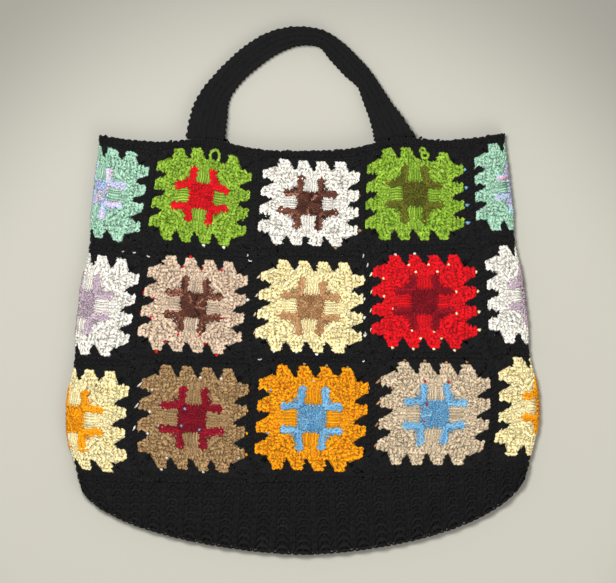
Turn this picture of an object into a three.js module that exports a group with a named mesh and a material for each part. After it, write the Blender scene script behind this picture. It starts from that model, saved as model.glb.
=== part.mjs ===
// A granny square crochet tote bag, lying flat on its back with its two handles laid up.
// Millimetres. X runs across the bag to the right, Y towards the handles, Z up from the surface.
// The bag is a flat tube of eight squares in each of three rows. A place on it is given by a turn,
// in squares round the bag from the middle of the front, and a row, from 0 at the base seam to 3 at the mouth.
import * as THREE from 'three';
import { mergeVertices } from 'three/addons/utils/BufferGeometryUtils.js';

// Squares, each with its share of the black joining: the width round the bag and the rise of each row
const TOP_SQUARE = 103;
const MIDDLE_SQUARE = 110;
const BOTTOM_SQUARE = 116;
const TOP_RISE = 93;
const MIDDLE_RISE = 100;
const BOTTOM_RISE = 115;
const SQUARES_ROUND = 8;

// Fabric
const WALL = 3.6;
const THICKNESS = 20;
const SWELL = 2.5;
const CLEARANCE = 0.3;

// Base, edging and handles
const BASE_DEPTH = 69.5;
const BASE_RIB_PITCH = 17.4;
const BASE_RIB_DEPTH = 1.3;
const EDGING_HEIGHT = 5.5;
const EDGING_SCALLOP = 0.9;
const STRAP_WIDTH = 38;
const STRAP_WALL = 3.6;
const HANDLE_HALF_SPREAD = 90;
const HANDLE_RISE = 110;
const FOOT_CLEARANCE = 1.2;

// The corner curve of the base outline
const BASE_CORNER_DROP = 5;
const BASE_WIDTH_SHARE = 0.985;
const BASE_FAN = 0.93;
const BASE_ROUND_X = 2.2;
const BASE_ROUND_Y = 2.1;
const BASE_ROUNDING_LIMIT = 0.8;

// A square's own form, as shares of its width and rise
const SPIKES_PER_SIDE = 4;
const SPIKE_PITCH = 0.17;
const SPIKE_TIP = 0.44;
const SPIKE_VALLEY = 0.365;
const SPIKE_LEAN = 0.2;
const VALLEY_LEAN = 0.36;
const CENTRE_REACH = 0.25;
const CENTRE_SIDE = 0.105;
const SQUARE_TWIST = THREE.MathUtils.degToRad(-4);

// Joining lines between the rows: how far the ends rise over the middle, how far the right end
// rises over the left, and how far the handles pull the line up, as shares of the square named
const LINES = [
  { square: BOTTOM_SQUARE, rise: 0, ends: 0.07, tilt: 0.053, pull: 0 },
  { square: BOTTOM_SQUARE, rise: BOTTOM_RISE, ends: 0.017, tilt: 0.041, pull: 0 },
  { square: MIDDLE_SQUARE, rise: MIDDLE_RISE, ends: 0.1, tilt: 0.03, pull: 0 },
  { square: TOP_SQUARE, rise: TOP_RISE, ends: 0.155, tilt: 0.01, pull: 0.082 },
];
const PULL_PLACE = 0.47;
const PULL_SPREAD = 0.17;

// Girth of the tube at rows up the bag, as shares of the square named
const GIRTHS = [
  { row: 0, square: BOTTOM_SQUARE, share: 0.95 },
  { row: 0.5, square: BOTTOM_SQUARE, share: 1 },
  { row: 1.5, square: MIDDLE_SQUARE, share: 1 },
  { row: 2.5, square: TOP_SQUARE, share: 1 },
  { row: 3, square: TOP_SQUARE, share: 0.973 },
];

// Columns of squares: the turn where each one starts
const COLUMNS = [
  { name: 'front_left', start: -1.415 },
  { name: 'front_middle', start: -0.44 },
  { name: 'front_right', start: 0.557 },
  { name: 'side_right', start: 1.56 },
  { name: 'back_right', start: 2.565 },
  { name: 'back_middle', start: 3.57 },
  { name: 'back_left', start: 4.575 },
  { name: 'side_left', start: 5.58 },
];

// Yarns
const YARN = {
  black: 0x141416, mint: 0x9fd3bd, lime: 0x86b63a, white: 0xe4e0d6, beige: 0xcdb89b, cream: 0xebdca6,
  red: 0xe01525, camel: 0xa87b4c, orange: 0xf0960c, taupe: 0xbfab91, pastel: 0xc9a0bd, brown: 0x5e3a2c,
  olive: 0x4b4614, milkBrown: 0x96654a, maroon: 0x781024, lavender: 0xb3a6b8, burgundy: 0x8c0f2a,
  blue: 0x4f97cd, scarlet: 0xd11a2b,
};

// The rows of squares from the base up, with the yarns of each square in the order of the columns
const ROWS = [
  {
    name: 'bottom',
    rise: BOTTOM_RISE,
    square: BOTTOM_SQUARE,
    fields: ['camel', 'orange', 'taupe', 'cream', 'camel', 'beige', 'white', 'cream'],
    centres: ['burgundy', 'blue', 'blue', 'orange', 'burgundy', 'brown', 'blue', 'orange'],
  },
  {
    name: 'middle',
    rise: MIDDLE_RISE,
    square: MIDDLE_SQUARE,
    fields: ['beige', 'cream', 'red', 'white', 'cream', 'lime', 'red', 'white'],
    centres: ['brown', 'milkBrown', 'maroon', 'lavender', 'milkBrown', 'scarlet', 'maroon', 'lavender'],
  },
  {
    name: 'top',
    rise: TOP_RISE,
    square: TOP_SQUARE,
    fields: ['lime', 'white', 'lime', 'mint', 'red', 'orange', 'taupe', 'mint'],
    centres: ['scarlet', 'brown', 'olive', 'pastel', 'white', 'olive', 'burgundy', 'pastel'],
  },
];

// A handle's route from its left foot over the arch to its right foot: across as a share of the half
// spread, up as a share of the rise, width as a share of the strap, and how far it has sunk from the
// height of its foot on to what it lies on
const HANDLE_ROUTE = [
  { across: -1.037, up: 0.1, width: 1.0, sunk: 0 },
  { across: -0.995, up: 0.322, width: 0.95, sunk: 0.4 },
  { across: -0.942, up: 0.465, width: 0.8, sunk: 0.75 },
  { across: -0.853, up: 0.581, width: 0.675, sunk: 1 },
  { across: -0.689, up: 0.728, width: 0.65, sunk: 1 },
  { across: -0.516, up: 0.845, width: 0.65, sunk: 1 },
  { across: -0.332, up: 0.94, width: 0.625, sunk: 1 },
  { across: -0.095, up: 1, width: 0.52, sunk: 1 },
  { across: 0.1, up: 0.996, width: 0.463, sunk: 1 },
  { across: 0.226, up: 0.965, width: 0.45, sunk: 1 },
  { across: 0.374, up: 0.853, width: 0.58, sunk: 1 },
  { across: 0.532, up: 0.719, width: 0.59, sunk: 1 },
  { across: 0.653, up: 0.62, width: 0.52, sunk: 1 },
  { across: 0.774, up: 0.465, width: 0.75, sunk: 0.75 },
  { across: 0.868, up: 0.348, width: 0.925, sunk: 0.4 },
  { across: 0.968, up: 0.119, width: 1.05, sunk: 0 },
];
const HANDLE_STATIONS = 26;

const FOLD_RADIUS = THICKNESS / 2;
const FOLD_PARTS = 4;
const FOLD_TURN = SQUARES_ROUND / 4;
const ROW_COUNT = ROWS.length;
const MOUTH = ROW_COUNT;
const PARTS_PER_SQUARE = 6;

// Points nearer than this are one point: in squares on the bag, and in millimetres
const SAME_PLACE = 1e-6;
const SAME_POINT = 1e-4;

// The two faces of the bag, from fold to fold: the column that lies over the first fold of each
const FACES = [
  { name: 'front', column: -1, from: -FOLD_TURN, to: FOLD_TURN },
  { name: 'back', column: 3, from: FOLD_TURN, to: 3 * FOLD_TURN },
];

// Smooth value through stations that need not be evenly spaced
function smoothThrough(stations, at) {
  const last = stations.length - 1;
  let index = stations.findIndex(([place]) => place > at) - 1;
  if (index < 0) index = at < stations[0][0] ? 0 : last - 1;
  const slope = (i) => {
    const a = stations[Math.max(i - 1, 0)];
    const b = stations[Math.min(i + 1, last)];
    return (b[1] - a[1]) / (b[0] - a[0]);
  };
  const [x0, y0] = stations[index];
  const [x1, y1] = stations[index + 1];
  const width = x1 - x0;
  const t = (at - x0) / width;
  const rest = 1 - t;
  return (
    y0 * (1 + 2 * t) * rest * rest
    + y1 * t * t * (3 - 2 * t)
    + slope(index) * width * t * rest * rest
    - slope(index + 1) * width * t * t * rest
  );
}

const girthStations = GIRTHS.map(({ row, square, share }) => [row, square * share]);
const squareAt = (row) => smoothThrough(girthStations, Math.min(Math.max(row, 0), MOUTH));
const halfWidthAt = (row) => (SQUARES_ROUND / 4) * squareAt(row) - ((Math.PI - 2) * FOLD_RADIUS) / 2;

// Height of a joining line at a place across the bag, from -1 at the left fold to 1 at the right
function lineHeight(index, across) {
  let height = BASE_DEPTH;
  for (let i = 0; i <= index; i += 1) height += LINES[i].rise;
  const { square, ends, tilt, pull } = LINES[index];
  const fromPull = (Math.abs(across) - PULL_PLACE) / PULL_SPREAD;
  return height + square * (ends * across * across + tilt * across + pull * Math.exp(-fromPull * fromPull));
}

function heightAt(row, across) {
  const below = Math.min(Math.floor(row), MOUTH - 1);
  return THREE.MathUtils.lerp(lineHeight(below, across), lineHeight(below + 1, across), row - below);
}

// The point of the bag at a turn and row, some way in from its outer face
function onBag(turn, row, inset) {
  const wrapped = THREE.MathUtils.euclideanModulo(turn + SQUARES_ROUND / 2, SQUARES_ROUND) - SQUARES_ROUND / 2;
  const half = halfWidthAt(row);
  const flat = half - FOLD_RADIUS;
  const arc = Math.abs(wrapped) * squareAt(row);
  const fold = Math.PI * FOLD_RADIUS;
  let x;
  let z;
  if (arc <= flat) {
    x = arc;
    const rise = Math.sin((Math.PI * (row + 0.5)) / (MOUTH + 1));
    z = THICKNESS - inset + SWELL * rise * (1 - (arc / flat) ** 2);
  } else if (arc < flat + fold) {
    const angle = (arc - flat) / FOLD_RADIUS;
    x = flat + (FOLD_RADIUS - inset) * Math.sin(angle);
    z = FOLD_RADIUS + (FOLD_RADIUS - inset) * Math.cos(angle);
  } else {
    x = flat - (arc - flat - fold);
    z = inset;
  }
  x *= Math.sign(wrapped) || 1;
  return new THREE.Vector3(x, heightAt(row, x / half), z);
}

// Turns where a face bends: the folds at the sides, in equal parts
function foldTurns() {
  const reach = (Math.PI * FOLD_RADIUS) / 2 / MIDDLE_SQUARE;
  const turns = [];
  for (const middle of [-FOLD_TURN, FOLD_TURN, 3 * FOLD_TURN]) {
    for (let i = 0; i <= FOLD_PARTS; i += 1) {
      turns.push(middle + reach * ((2 * i) / FOLD_PARTS - 1));
    }
  }
  return turns;
}

// Turns along a face from fold to fold, in equal parts, with half the clearance at its ends
function faceTurns(face) {
  const gap = CLEARANCE / 2 / MIDDLE_SQUARE;
  const parts = (face.to - face.from) * PARTS_PER_SQUARE;
  return Array.from({ length: parts + 1 }, (_, i) => (
    THREE.MathUtils.lerp(face.from + gap, face.to - gap, i / parts)
  ));
}

function columnStart(index) {
  const laps = Math.floor(index / COLUMNS.length);
  return COLUMNS[index - laps * COLUMNS.length].start + laps * SQUARES_ROUND;
}

// Splits flat triangles at a turn
function splitAt(triangles, cut) {
  const side = (p) => (Math.abs(p.x - cut) < SAME_PLACE ? 0 : Math.sign(p.x - cut));
  return triangles.flatMap((triangle) => {
    if (!triangle.some((p) => side(p) < 0) || !triangle.some((p) => side(p) > 0)) return [triangle];
    const low = [];
    const high = [];
    triangle.forEach((p, i) => {
      const q = triangle[(i + 1) % 3];
      if (side(p) <= 0) low.push(p);
      if (side(p) >= 0) high.push(p);
      if (side(p) * side(q) < 0) {
        const between = crossing(p, q, cut);
        low.push(between);
        high.push(between);
      }
    });
    return [low, high].flatMap((part) => part.slice(2).map((p, i) => [part[0], part[i + 1], p]));
  });
}

function crossing(a, b, cut) {
  const [from, to] = a.x < b.x ? [a, b] : [b, a];
  return new THREE.Vector2(cut, from.y + ((to.y - from.y) * (cut - from.x)) / (to.x - from.x));
}

const keyOf = (p) => `${p.x.toFixed(8)},${p.y.toFixed(8)}`;

// The outline with a point wherever it crosses a fold
function withCrossings(outline, cuts) {
  return outline.flatMap((p, i) => {
    const q = outline[(i + 1) % outline.length];
    const inside = cuts.filter((cut) => (p.x - cut) * (q.x - cut) < 0 && Math.abs(p.x - cut) > SAME_PLACE);
    const ordered = p.x < q.x ? inside : inside.reverse();
    return [p, ...ordered.map((cut) => crossing(p, q, cut))];
  });
}

// The closed outlines of a patch of flat triangles
function outlinesOf(triangles) {
  const edges = new Map();
  for (const triangle of triangles) {
    triangle.forEach((p, i) => {
      const q = triangle[(i + 1) % 3];
      const [from, to] = [keyOf(p), keyOf(q)];
      if (from !== to && !edges.delete(`${to}>${from}`)) edges.set(`${from}>${to}`, [p, q]);
    });
  }
  const next = new Map([...edges.values()].map(([p, q]) => [keyOf(p), q]));
  const outlines = [];
  while (next.size > 0) {
    const outline = [];
    let at = next.keys().next().value;
    while (next.has(at)) {
      const point = next.get(at);
      outline.push(point);
      next.delete(at);
      at = keyOf(point);
    }
    outlines.push(outline);
  }
  return outlines;
}

// Flat triangles that fill an outline around its holes, and never cross a fold. Where the folds cut it
// into strips, any holes are in the largest outline of a strip.
function fillFlat(outline, holes, cuts) {
  const all = [outline, ...holes].flat();
  const faces = THREE.ShapeUtils.triangulateShape(outline, holes);
  const whole = faces.map((face) => face.map((i) => all[i]));
  const split = cuts.reduce(splitAt, whole);
  if (split.length === whole.length) return whole;
  const strips = new Map();
  for (const triangle of split) {
    const middle = (triangle[0].x + triangle[1].x + triangle[2].x) / 3;
    const strip = cuts.filter((cut) => cut < middle).length;
    strips.set(strip, [...(strips.get(strip) ?? []), triangle]);
  }
  const own = new Map(all.map((p) => [keyOf(p), p]));
  const { area, isClockWise, triangulateShape } = THREE.ShapeUtils;
  return [...strips.values()].flatMap((strip) => {
    const loops = outlinesOf(strip).map((loop) => loop.map((p) => own.get(keyOf(p))).filter(Boolean));
    loops.sort((a, b) => area(b) - area(a));
    const inStrip = loops.filter(isClockWise);
    return loops.filter((loop) => !isClockWise(loop)).flatMap((loop, i) => {
      const within = i === 0 ? inStrip : [];
      const corners = [loop, ...within].flat();
      return triangulateShape(loop, within).map((face) => face.map((k) => corners[k]));
    });
  });
}

function geometryOf(triangles) {
  const points = triangles.flat().flatMap((p) => [p.x, p.y, p.z]);
  const geometry = new THREE.BufferGeometry();
  geometry.setAttribute('position', new THREE.Float32BufferAttribute(points, 3));
  const merged = mergeVertices(geometry, 1e-5);
  merged.computeVertexNormals();
  return merged;
}

// A flat piece of fabric, drawn in squares round the bag and rows up it, laid on the bag.
// The walls of neighbours are split along the same diagonal, so that their gap stays even on a fold.
function fabricPiece(outline, holes) {
  const cuts = foldTurns();
  const loops = [outline, ...holes.map((hole) => [...hole].reverse())].map((loop) => withCrossings(loop, cuts));
  const outer = (p) => onBag(p.x, p.y, 0);
  const inner = (p) => onBag(p.x, p.y, WALL);
  const triangles = [];
  for (const [a, b, c] of fillFlat(loops[0], loops.slice(1), cuts)) {
    triangles.push([outer(a), outer(b), outer(c)], [inner(a), inner(c), inner(b)]);
  }
  for (const loop of loops) {
    loop.forEach((a, i) => {
      const b = loop[(i + 1) % loop.length];
      if (a.x < b.x) triangles.push([inner(a), inner(b), outer(b)], [inner(a), outer(b), outer(a)]);
      else triangles.push([inner(a), inner(b), outer(a)], [inner(b), outer(b), outer(a)]);
    });
  }
  return geometryOf(triangles);
}

// Moves each side of an outline out by a distance
function offsetOutline(points, distance) {
  return points.map((point, i) => {
    const before = points[(i + points.length - 1) % points.length];
    const after = points[(i + 1) % points.length];
    const a = point.clone().sub(before).normalize();
    const b = after.clone().sub(point).normalize();
    const outward = new THREE.Vector2(a.y + b.y, -a.x - b.x).normalize();
    const share = outward.x * a.y - outward.y * a.x;
    return point.clone().addScaledVector(outward, distance / share);
  });
}

// The spiky outline of a square's coloured field, anticlockwise from its lower right corner
function fieldOutline(width, rise) {
  const side = [new THREE.Vector2(SPIKE_VALLEY, -SPIKE_VALLEY)];
  for (let i = 0; i < SPIKES_PER_SIDE; i += 1) {
    const place = (i - (SPIKES_PER_SIDE - 1) / 2) * SPIKE_PITCH;
    side.push(new THREE.Vector2(SPIKE_TIP, place + SPIKE_LEAN * SPIKE_PITCH));
    if (i < SPIKES_PER_SIDE - 1) {
      side.push(new THREE.Vector2(SPIKE_VALLEY, place + VALLEY_LEAN * SPIKE_PITCH));
    }
  }
  return fourSides(side, width, rise);
}

// The outline of a square's centre, where its eight legs end
function centreOutline(width, rise) {
  const side = [new THREE.Vector2(CENTRE_REACH, -CENTRE_SIDE), new THREE.Vector2(CENTRE_REACH, CENTRE_SIDE)];
  return fourSides(side, width, rise);
}

function fourSides(side, width, rise) {
  const origin = new THREE.Vector2();
  const points = [];
  for (let quarter = 0; quarter < 4; quarter += 1) {
    for (const point of side) {
      const turned = point.clone().rotateAround(origin, (quarter * Math.PI) / 2 + SQUARE_TWIST);
      points.push(new THREE.Vector2(turned.x * width, turned.y * rise));
    }
  }
  return points;
}

// A square's place: outlines in millimetres from its middle go to turns and rows
function squareCell(rowIndex, column) {
  const { square, rise } = ROWS[rowIndex];
  const start = columnStart(column);
  const turns = columnStart(column + 1) - start;
  const width = turns * square;
  const toBag = (p) => new THREE.Vector2(start + turns * (0.5 + p.x / width), rowIndex + 0.5 + p.y / rise);
  const field = fieldOutline(width, rise);
  const centre = centreOutline(width, rise);
  return {
    field: field.map(toBag),
    hole: offsetOutline(field, CLEARANCE).map(toBag),
    centre: centre.map(toBag),
    eye: offsetOutline(centre, CLEARANCE).map(toBag),
  };
}

// The part of a hole's outline on one side of a turn, in the order that the fabric's own edge follows it
function besideCut(hole, cut, side) {
  const around = withCrossings(hole, [cut]).reverse();
  const isKept = (p) => (p.x - cut) * side > -SAME_PLACE;
  const start = around.findIndex((p, i) => isKept(p) && !isKept(around.at(i - 1)));
  return [...around.slice(start), ...around.slice(0, start)].filter(isKept);
}

// The black last rounds and joining of one face, with a hole for each square's field and half a hole
// at the folds for each square that lies over one
function netGeometry(face) {
  const rowGap = CLEARANCE / 2 / MIDDLE_RISE;
  const turns = faceTurns(face);
  const [from, to] = [turns[0], turns.at(-1)];
  const low = turns.map((turn) => new THREE.Vector2(turn, rowGap));
  const high = turns.map((turn) => new THREE.Vector2(turn, MOUTH - rowGap)).reverse();
  const last = face.column + SQUARES_ROUND / 2;
  const rightEdge = [];
  const leftEdge = [];
  const holes = [];
  for (let row = 0; row < ROW_COUNT; row += 1) {
    if (row > 0) rightEdge.push(new THREE.Vector2(to, row));
    rightEdge.push(...besideCut(squareCell(row, last).hole, to, -1));
    leftEdge.unshift(...besideCut(squareCell(row, face.column).hole, from, 1));
    if (row < ROW_COUNT - 1) leftEdge.unshift(new THREE.Vector2(from, row + 1));
    for (let i = face.column + 1; i < last; i += 1) holes.push(squareCell(row, i).hole);
  }
  return fabricPiece([...low, ...rightEdge, ...high, ...leftEdge], holes);
}

// Two triangles for each cell of a grid of points, facing the side that the grid's turn gives
function gridTriangles(rowsOfPoints) {
  const triangles = [];
  for (let i = 0; i + 1 < rowsOfPoints.length; i += 1) {
    for (let j = 0; j + 1 < rowsOfPoints[i].length; j += 1) {
      const a = rowsOfPoints[i][j];
      const b = rowsOfPoints[i][j + 1];
      const c = rowsOfPoints[i + 1][j + 1];
      const d = rowsOfPoints[i + 1][j];
      triangles.push([a, b, c], [a, c, d]);
    }
  }
  const isApart = (a, b) => a.distanceTo(b) > SAME_POINT;
  return triangles.filter(([a, b, c]) => isApart(a, b) && isApart(b, c) && isApart(c, a));
}

// A lofted body through closed rings of points, with its ends closed by a strip between the two long
// sides of the ring
function loft(rings) {
  const triangles = gridTriangles(rings.map((ring) => [...ring, ring[0]]));
  for (const [ring, isFirst] of [[rings[0], true], [rings.at(-1), false]]) {
    for (let i = 0; i < ring.length / 2 - 1; i += 1) {
      const [a, b, c, d] = [i, i + 1, ring.length - 2 - i, ring.length - 1 - i].map((k) => ring[k]);
      triangles.push(...(isFirst ? [[a, c, b], [a, d, c]] : [[a, b, c], [a, c, d]]));
    }
  }
  return geometryOf(triangles);
}

// The edging along one face's half of the mouth, a low band with a scalloped top
function edgingGeometry(face) {
  const bottom = CLEARANCE / 2;
  const rings = faceTurns(face).map((turn, i) => {
    const top = EDGING_HEIGHT + (i % 2 === 0 ? 0 : EDGING_SCALLOP);
    const at = (inset, up) => onBag(turn, MOUTH, inset).add(new THREE.Vector3(0, up, 0));
    return [at(0, bottom), at(WALL, bottom), at(WALL, top), at(0, top)];
  });
  return loft(rings);
}

// The base is a pocket in two halves: each column of one runs from its seam down to the bottom edge
function baseColumn(turn, inset, angles, isFront) {
  const half = halfWidthAt(0);
  const seam = onBag(turn, 0, inset);
  const across = onBag(turn, 0, 0).x / half;
  const reach = Math.abs(across) ** BASE_FAN * Math.sign(across);
  const corner = lineHeight(0, across) - BASE_CORNER_DROP;
  const width = half * BASE_WIDTH_SHARE - inset;
  const drop = (1 - Math.abs(reach) ** BASE_ROUND_X) ** (1 / BASE_ROUND_Y);
  const low = new THREE.Vector3(reach * width, corner - (corner - inset) * drop, 0);
  const level = seam.z - FOLD_RADIUS;
  const height = isFront ? level : Math.min(level, FOLD_RADIUS - inset);
  seam.setComponent(2, 0);
  seam.y -= CLEARANCE / 2;
  const length = seam.distanceTo(low);
  const rounding = Math.min(FOLD_RADIUS - inset, length * BASE_ROUNDING_LIMIT);
  const place = (fromLow, lift) => {
    const point = seam.clone().lerp(low, 1 - fromLow / length);
    const up = Math.max(height * lift, CLEARANCE / 2);
    return point.setComponent(2, FOLD_RADIUS + (isFront ? up : -up));
  };
  return [place(length, 1), ...angles.map((angle) => place(rounding * (1 - Math.sin(angle)), Math.cos(angle)))];
}

function baseGeometry(isFront) {
  const angles = [0, Math.PI / 4, Math.PI / 2];
  const ribs = Math.round((2 * halfWidthAt(0)) / BASE_RIB_PITCH);
  const turnOf = (i) => FOLD_TURN * (i / ribs - 1);
  const outer = [];
  const inner = [];
  for (let i = 0; i <= 2 * ribs; i += 1) {
    outer.push(baseColumn(turnOf(i), i % 2 === 0 ? BASE_RIB_DEPTH : 0, angles, isFront));
    if (i % 2 === 0) inner.push(baseColumn(turnOf(i), WALL, angles, isFront));
  }
  const triangles = gridTriangles(outer);
  for (const [a, b, c] of gridTriangles(inner)) triangles.push([a, c, b]);
  const bottom = angles.length;
  for (let i = 0; i < ribs; i += 1) {
    for (const end of [0, bottom]) {
      const [o0, o1, o2] = [0, 1, 2].map((k) => outer[2 * i + k][end]);
      const [n0, n1] = [inner[i][end], inner[i + 1][end]];
      const rim = [[o0, n0, o1], [n0, n1, o1], [o1, n1, o2]];
      for (const [a, b, c] of rim) triangles.push(end === 0 ? [a, c, b] : [a, b, c]);
    }
  }
  for (let k = 0; k < bottom; k += 1) {
    triangles.push([outer[0][k], inner[0][k], outer[0][k + 1]], [inner[0][k], inner[0][k + 1], outer[0][k + 1]]);
    const [o, n] = [outer.at(-1), inner.at(-1)];
    triangles.push([o[k], o[k + 1], n[k]], [n[k], o[k + 1], n[k + 1]]);
  }
  return geometryOf(isFront ? triangles : triangles.map(([a, b, c]) => [a, c, b]));
}

// One handle: a strap that narrows and thickens where it folds lengthwise over the arch
function handleGeometry(isFront) {
  const middle = new THREE.CatmullRomCurve3(
    HANDLE_ROUTE.map(({ across, up }) => new THREE.Vector3(across * HANDLE_HALF_SPREAD, up * HANDLE_RISE, 0)),
  );
  const sizes = new THREE.CatmullRomCurve3(
    HANDLE_ROUTE.map(({ width, sunk }) => new THREE.Vector3(width, sunk, 0)),
  );
  const rings = [];
  for (let i = 0; i <= HANDLE_STATIONS; i += 1) {
    const t = i / HANDLE_STATIONS;
    const place = middle.getPoint(t);
    const { x: width, y: sunk } = sizes.getPoint(t);
    const isFoot = i === 0 || i === HANDLE_STATIONS;
    rings.push(handleRing(place, middle.getTangent(t), width, Math.min(Math.max(sunk, 0), 1), isFoot, isFront));
  }
  return loft(rings);
}

function handleRing(place, tangent, widthShare, sunk, isFoot, isFront) {
  const half = (STRAP_WIDTH * widthShare) / 2;
  const thick = STRAP_WALL / Math.min(widthShare, 1);
  const cut = thick / 4;
  const mouthHalf = halfWidthAt(MOUTH);
  const onWall = onBag(place.x / squareAt(MOUTH), MOUTH, 0).z - STRAP_WALL;
  const level = isFront ? THREE.MathUtils.lerp(onWall, thick + CLEARANCE, sunk) : 0;
  const section = [
    [-half, thick - cut], [-half + cut, thick], [0, thick], [half - cut, thick], [half, thick - cut],
    [half, cut], [half - cut, 0], [0, 0], [-half + cut, 0], [-half, cut],
  ];
  const side = isFoot
    ? new THREE.Vector3(Math.sign(tangent.y), 0, 0)
    : new THREE.Vector3(tangent.y, -tangent.x, 0).normalize();
  return section.map(([across, up]) => {
    const x = place.x + side.x * across;
    const onEdging = lineHeight(MOUTH, x / mouthHalf) + EDGING_HEIGHT + EDGING_SCALLOP + FOOT_CLEARANCE;
    const y = isFoot ? onEdging : lineHeight(MOUTH, 0) + EDGING_HEIGHT + place.y + side.y * across;
    return new THREE.Vector3(x, y, level + up);
  });
}

function piece(name, geometry, yarn) {
  const material = new THREE.MeshStandardMaterial({ color: YARN[yarn], roughness: 0.95, metalness: 0 });
  const mesh = new THREE.Mesh(geometry, material);
  mesh.name = name;
  return mesh;
}

const bag = new THREE.Group();
ROWS.forEach((row, rowIndex) => {
  COLUMNS.forEach((column, i) => {
    const cell = squareCell(rowIndex, i);
    const place = `${row.name}_${column.name}`;
    bag.add(piece(`field_${place}`, fabricPiece(cell.field, [cell.eye]), row.fields[i]));
    bag.add(piece(`centre_${place}`, fabricPiece(cell.centre, []), row.centres[i]));
  });
});
for (const face of FACES) {
  const isFront = face.name === 'front';
  bag.add(piece(`net_${face.name}`, netGeometry(face), 'black'));
  bag.add(piece(`edging_${face.name}`, edgingGeometry(face), 'black'));
  bag.add(piece(`base_${face.name}`, baseGeometry(isFront), 'black'));
  bag.add(piece(`handle_${face.name}`, handleGeometry(isFront), 'black'));
}

// The origin goes under the middle of the bag's box
const box = new THREE.Box3().setFromObject(bag);
const middle = box.getCenter(new THREE.Vector3());
bag.position.set(-middle.x, -middle.y, -box.min.z);
bag.updateMatrixWorld(true);

export default bag;
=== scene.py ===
"""Looks of a granny square crochet tote bag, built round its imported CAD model.

The bag lies flat on its back. Every stitch is a strand of yarn modelled once as a curve,
turned into a mesh and laid in copies on the same surface that the CAD solids follow.
Lengths are millimetres until a mesh is made, and metres from there on.
"""

import logging
import math
from collections.abc import Callable
from dataclasses import dataclass, field
from enum import Enum

import bpy
import numpy as np
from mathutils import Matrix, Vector

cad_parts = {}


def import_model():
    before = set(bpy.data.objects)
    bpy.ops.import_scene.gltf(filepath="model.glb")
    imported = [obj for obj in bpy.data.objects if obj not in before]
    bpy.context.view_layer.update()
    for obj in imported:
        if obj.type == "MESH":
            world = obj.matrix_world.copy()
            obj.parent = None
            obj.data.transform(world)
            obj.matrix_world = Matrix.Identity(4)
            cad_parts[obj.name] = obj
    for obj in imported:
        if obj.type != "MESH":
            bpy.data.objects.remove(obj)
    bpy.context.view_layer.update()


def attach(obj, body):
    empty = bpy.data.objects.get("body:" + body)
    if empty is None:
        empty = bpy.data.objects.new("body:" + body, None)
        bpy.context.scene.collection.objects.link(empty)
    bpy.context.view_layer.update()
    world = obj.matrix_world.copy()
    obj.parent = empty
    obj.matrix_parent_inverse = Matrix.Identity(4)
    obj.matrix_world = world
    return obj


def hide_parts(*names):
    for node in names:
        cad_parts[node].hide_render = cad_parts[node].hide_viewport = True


LOG = logging.getLogger("tote bag")
METRES = 0.001
Surface = Callable[[np.ndarray, np.ndarray, np.ndarray], np.ndarray]
Shares = tuple[np.ndarray | float, np.ndarray | float]


class Face(Enum):
    """The two faces of the flat bag."""

    FRONT = "front"
    BACK = "back"


@dataclass(frozen=True)
class JoiningLine:
    """A joining line between two rows: its rise over the line below and its curve."""

    square: float
    rise: float
    ends: float
    tilt: float
    pull: float


def smooth_through(places: np.ndarray, values: np.ndarray, at: np.ndarray) -> np.ndarray:
    """Smooth value through stations that need not be evenly spaced.

    Args:
        places: Rising places of the stations.
        values: Value at each station.
        at: Places to read.

    Returns:
        The value at each place.
    """
    last = len(places) - 1
    index = np.clip(np.searchsorted(places, at, side="right") - 1, 0, last - 1)
    before = np.maximum(np.arange(last + 1) - 1, 0)
    after = np.minimum(np.arange(last + 1) + 1, last)
    slopes = (values[after] - values[before]) / (places[after] - places[before])
    width = places[index + 1] - places[index]
    t = (at - places[index]) / width
    rest = 1 - t
    return (
        values[index] * (1 + 2 * t) * rest * rest
        + values[index + 1] * t * t * (3 - 2 * t)
        + slopes[index] * width * t * rest * rest
        - slopes[index + 1] * width * t * t * rest
    )


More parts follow.
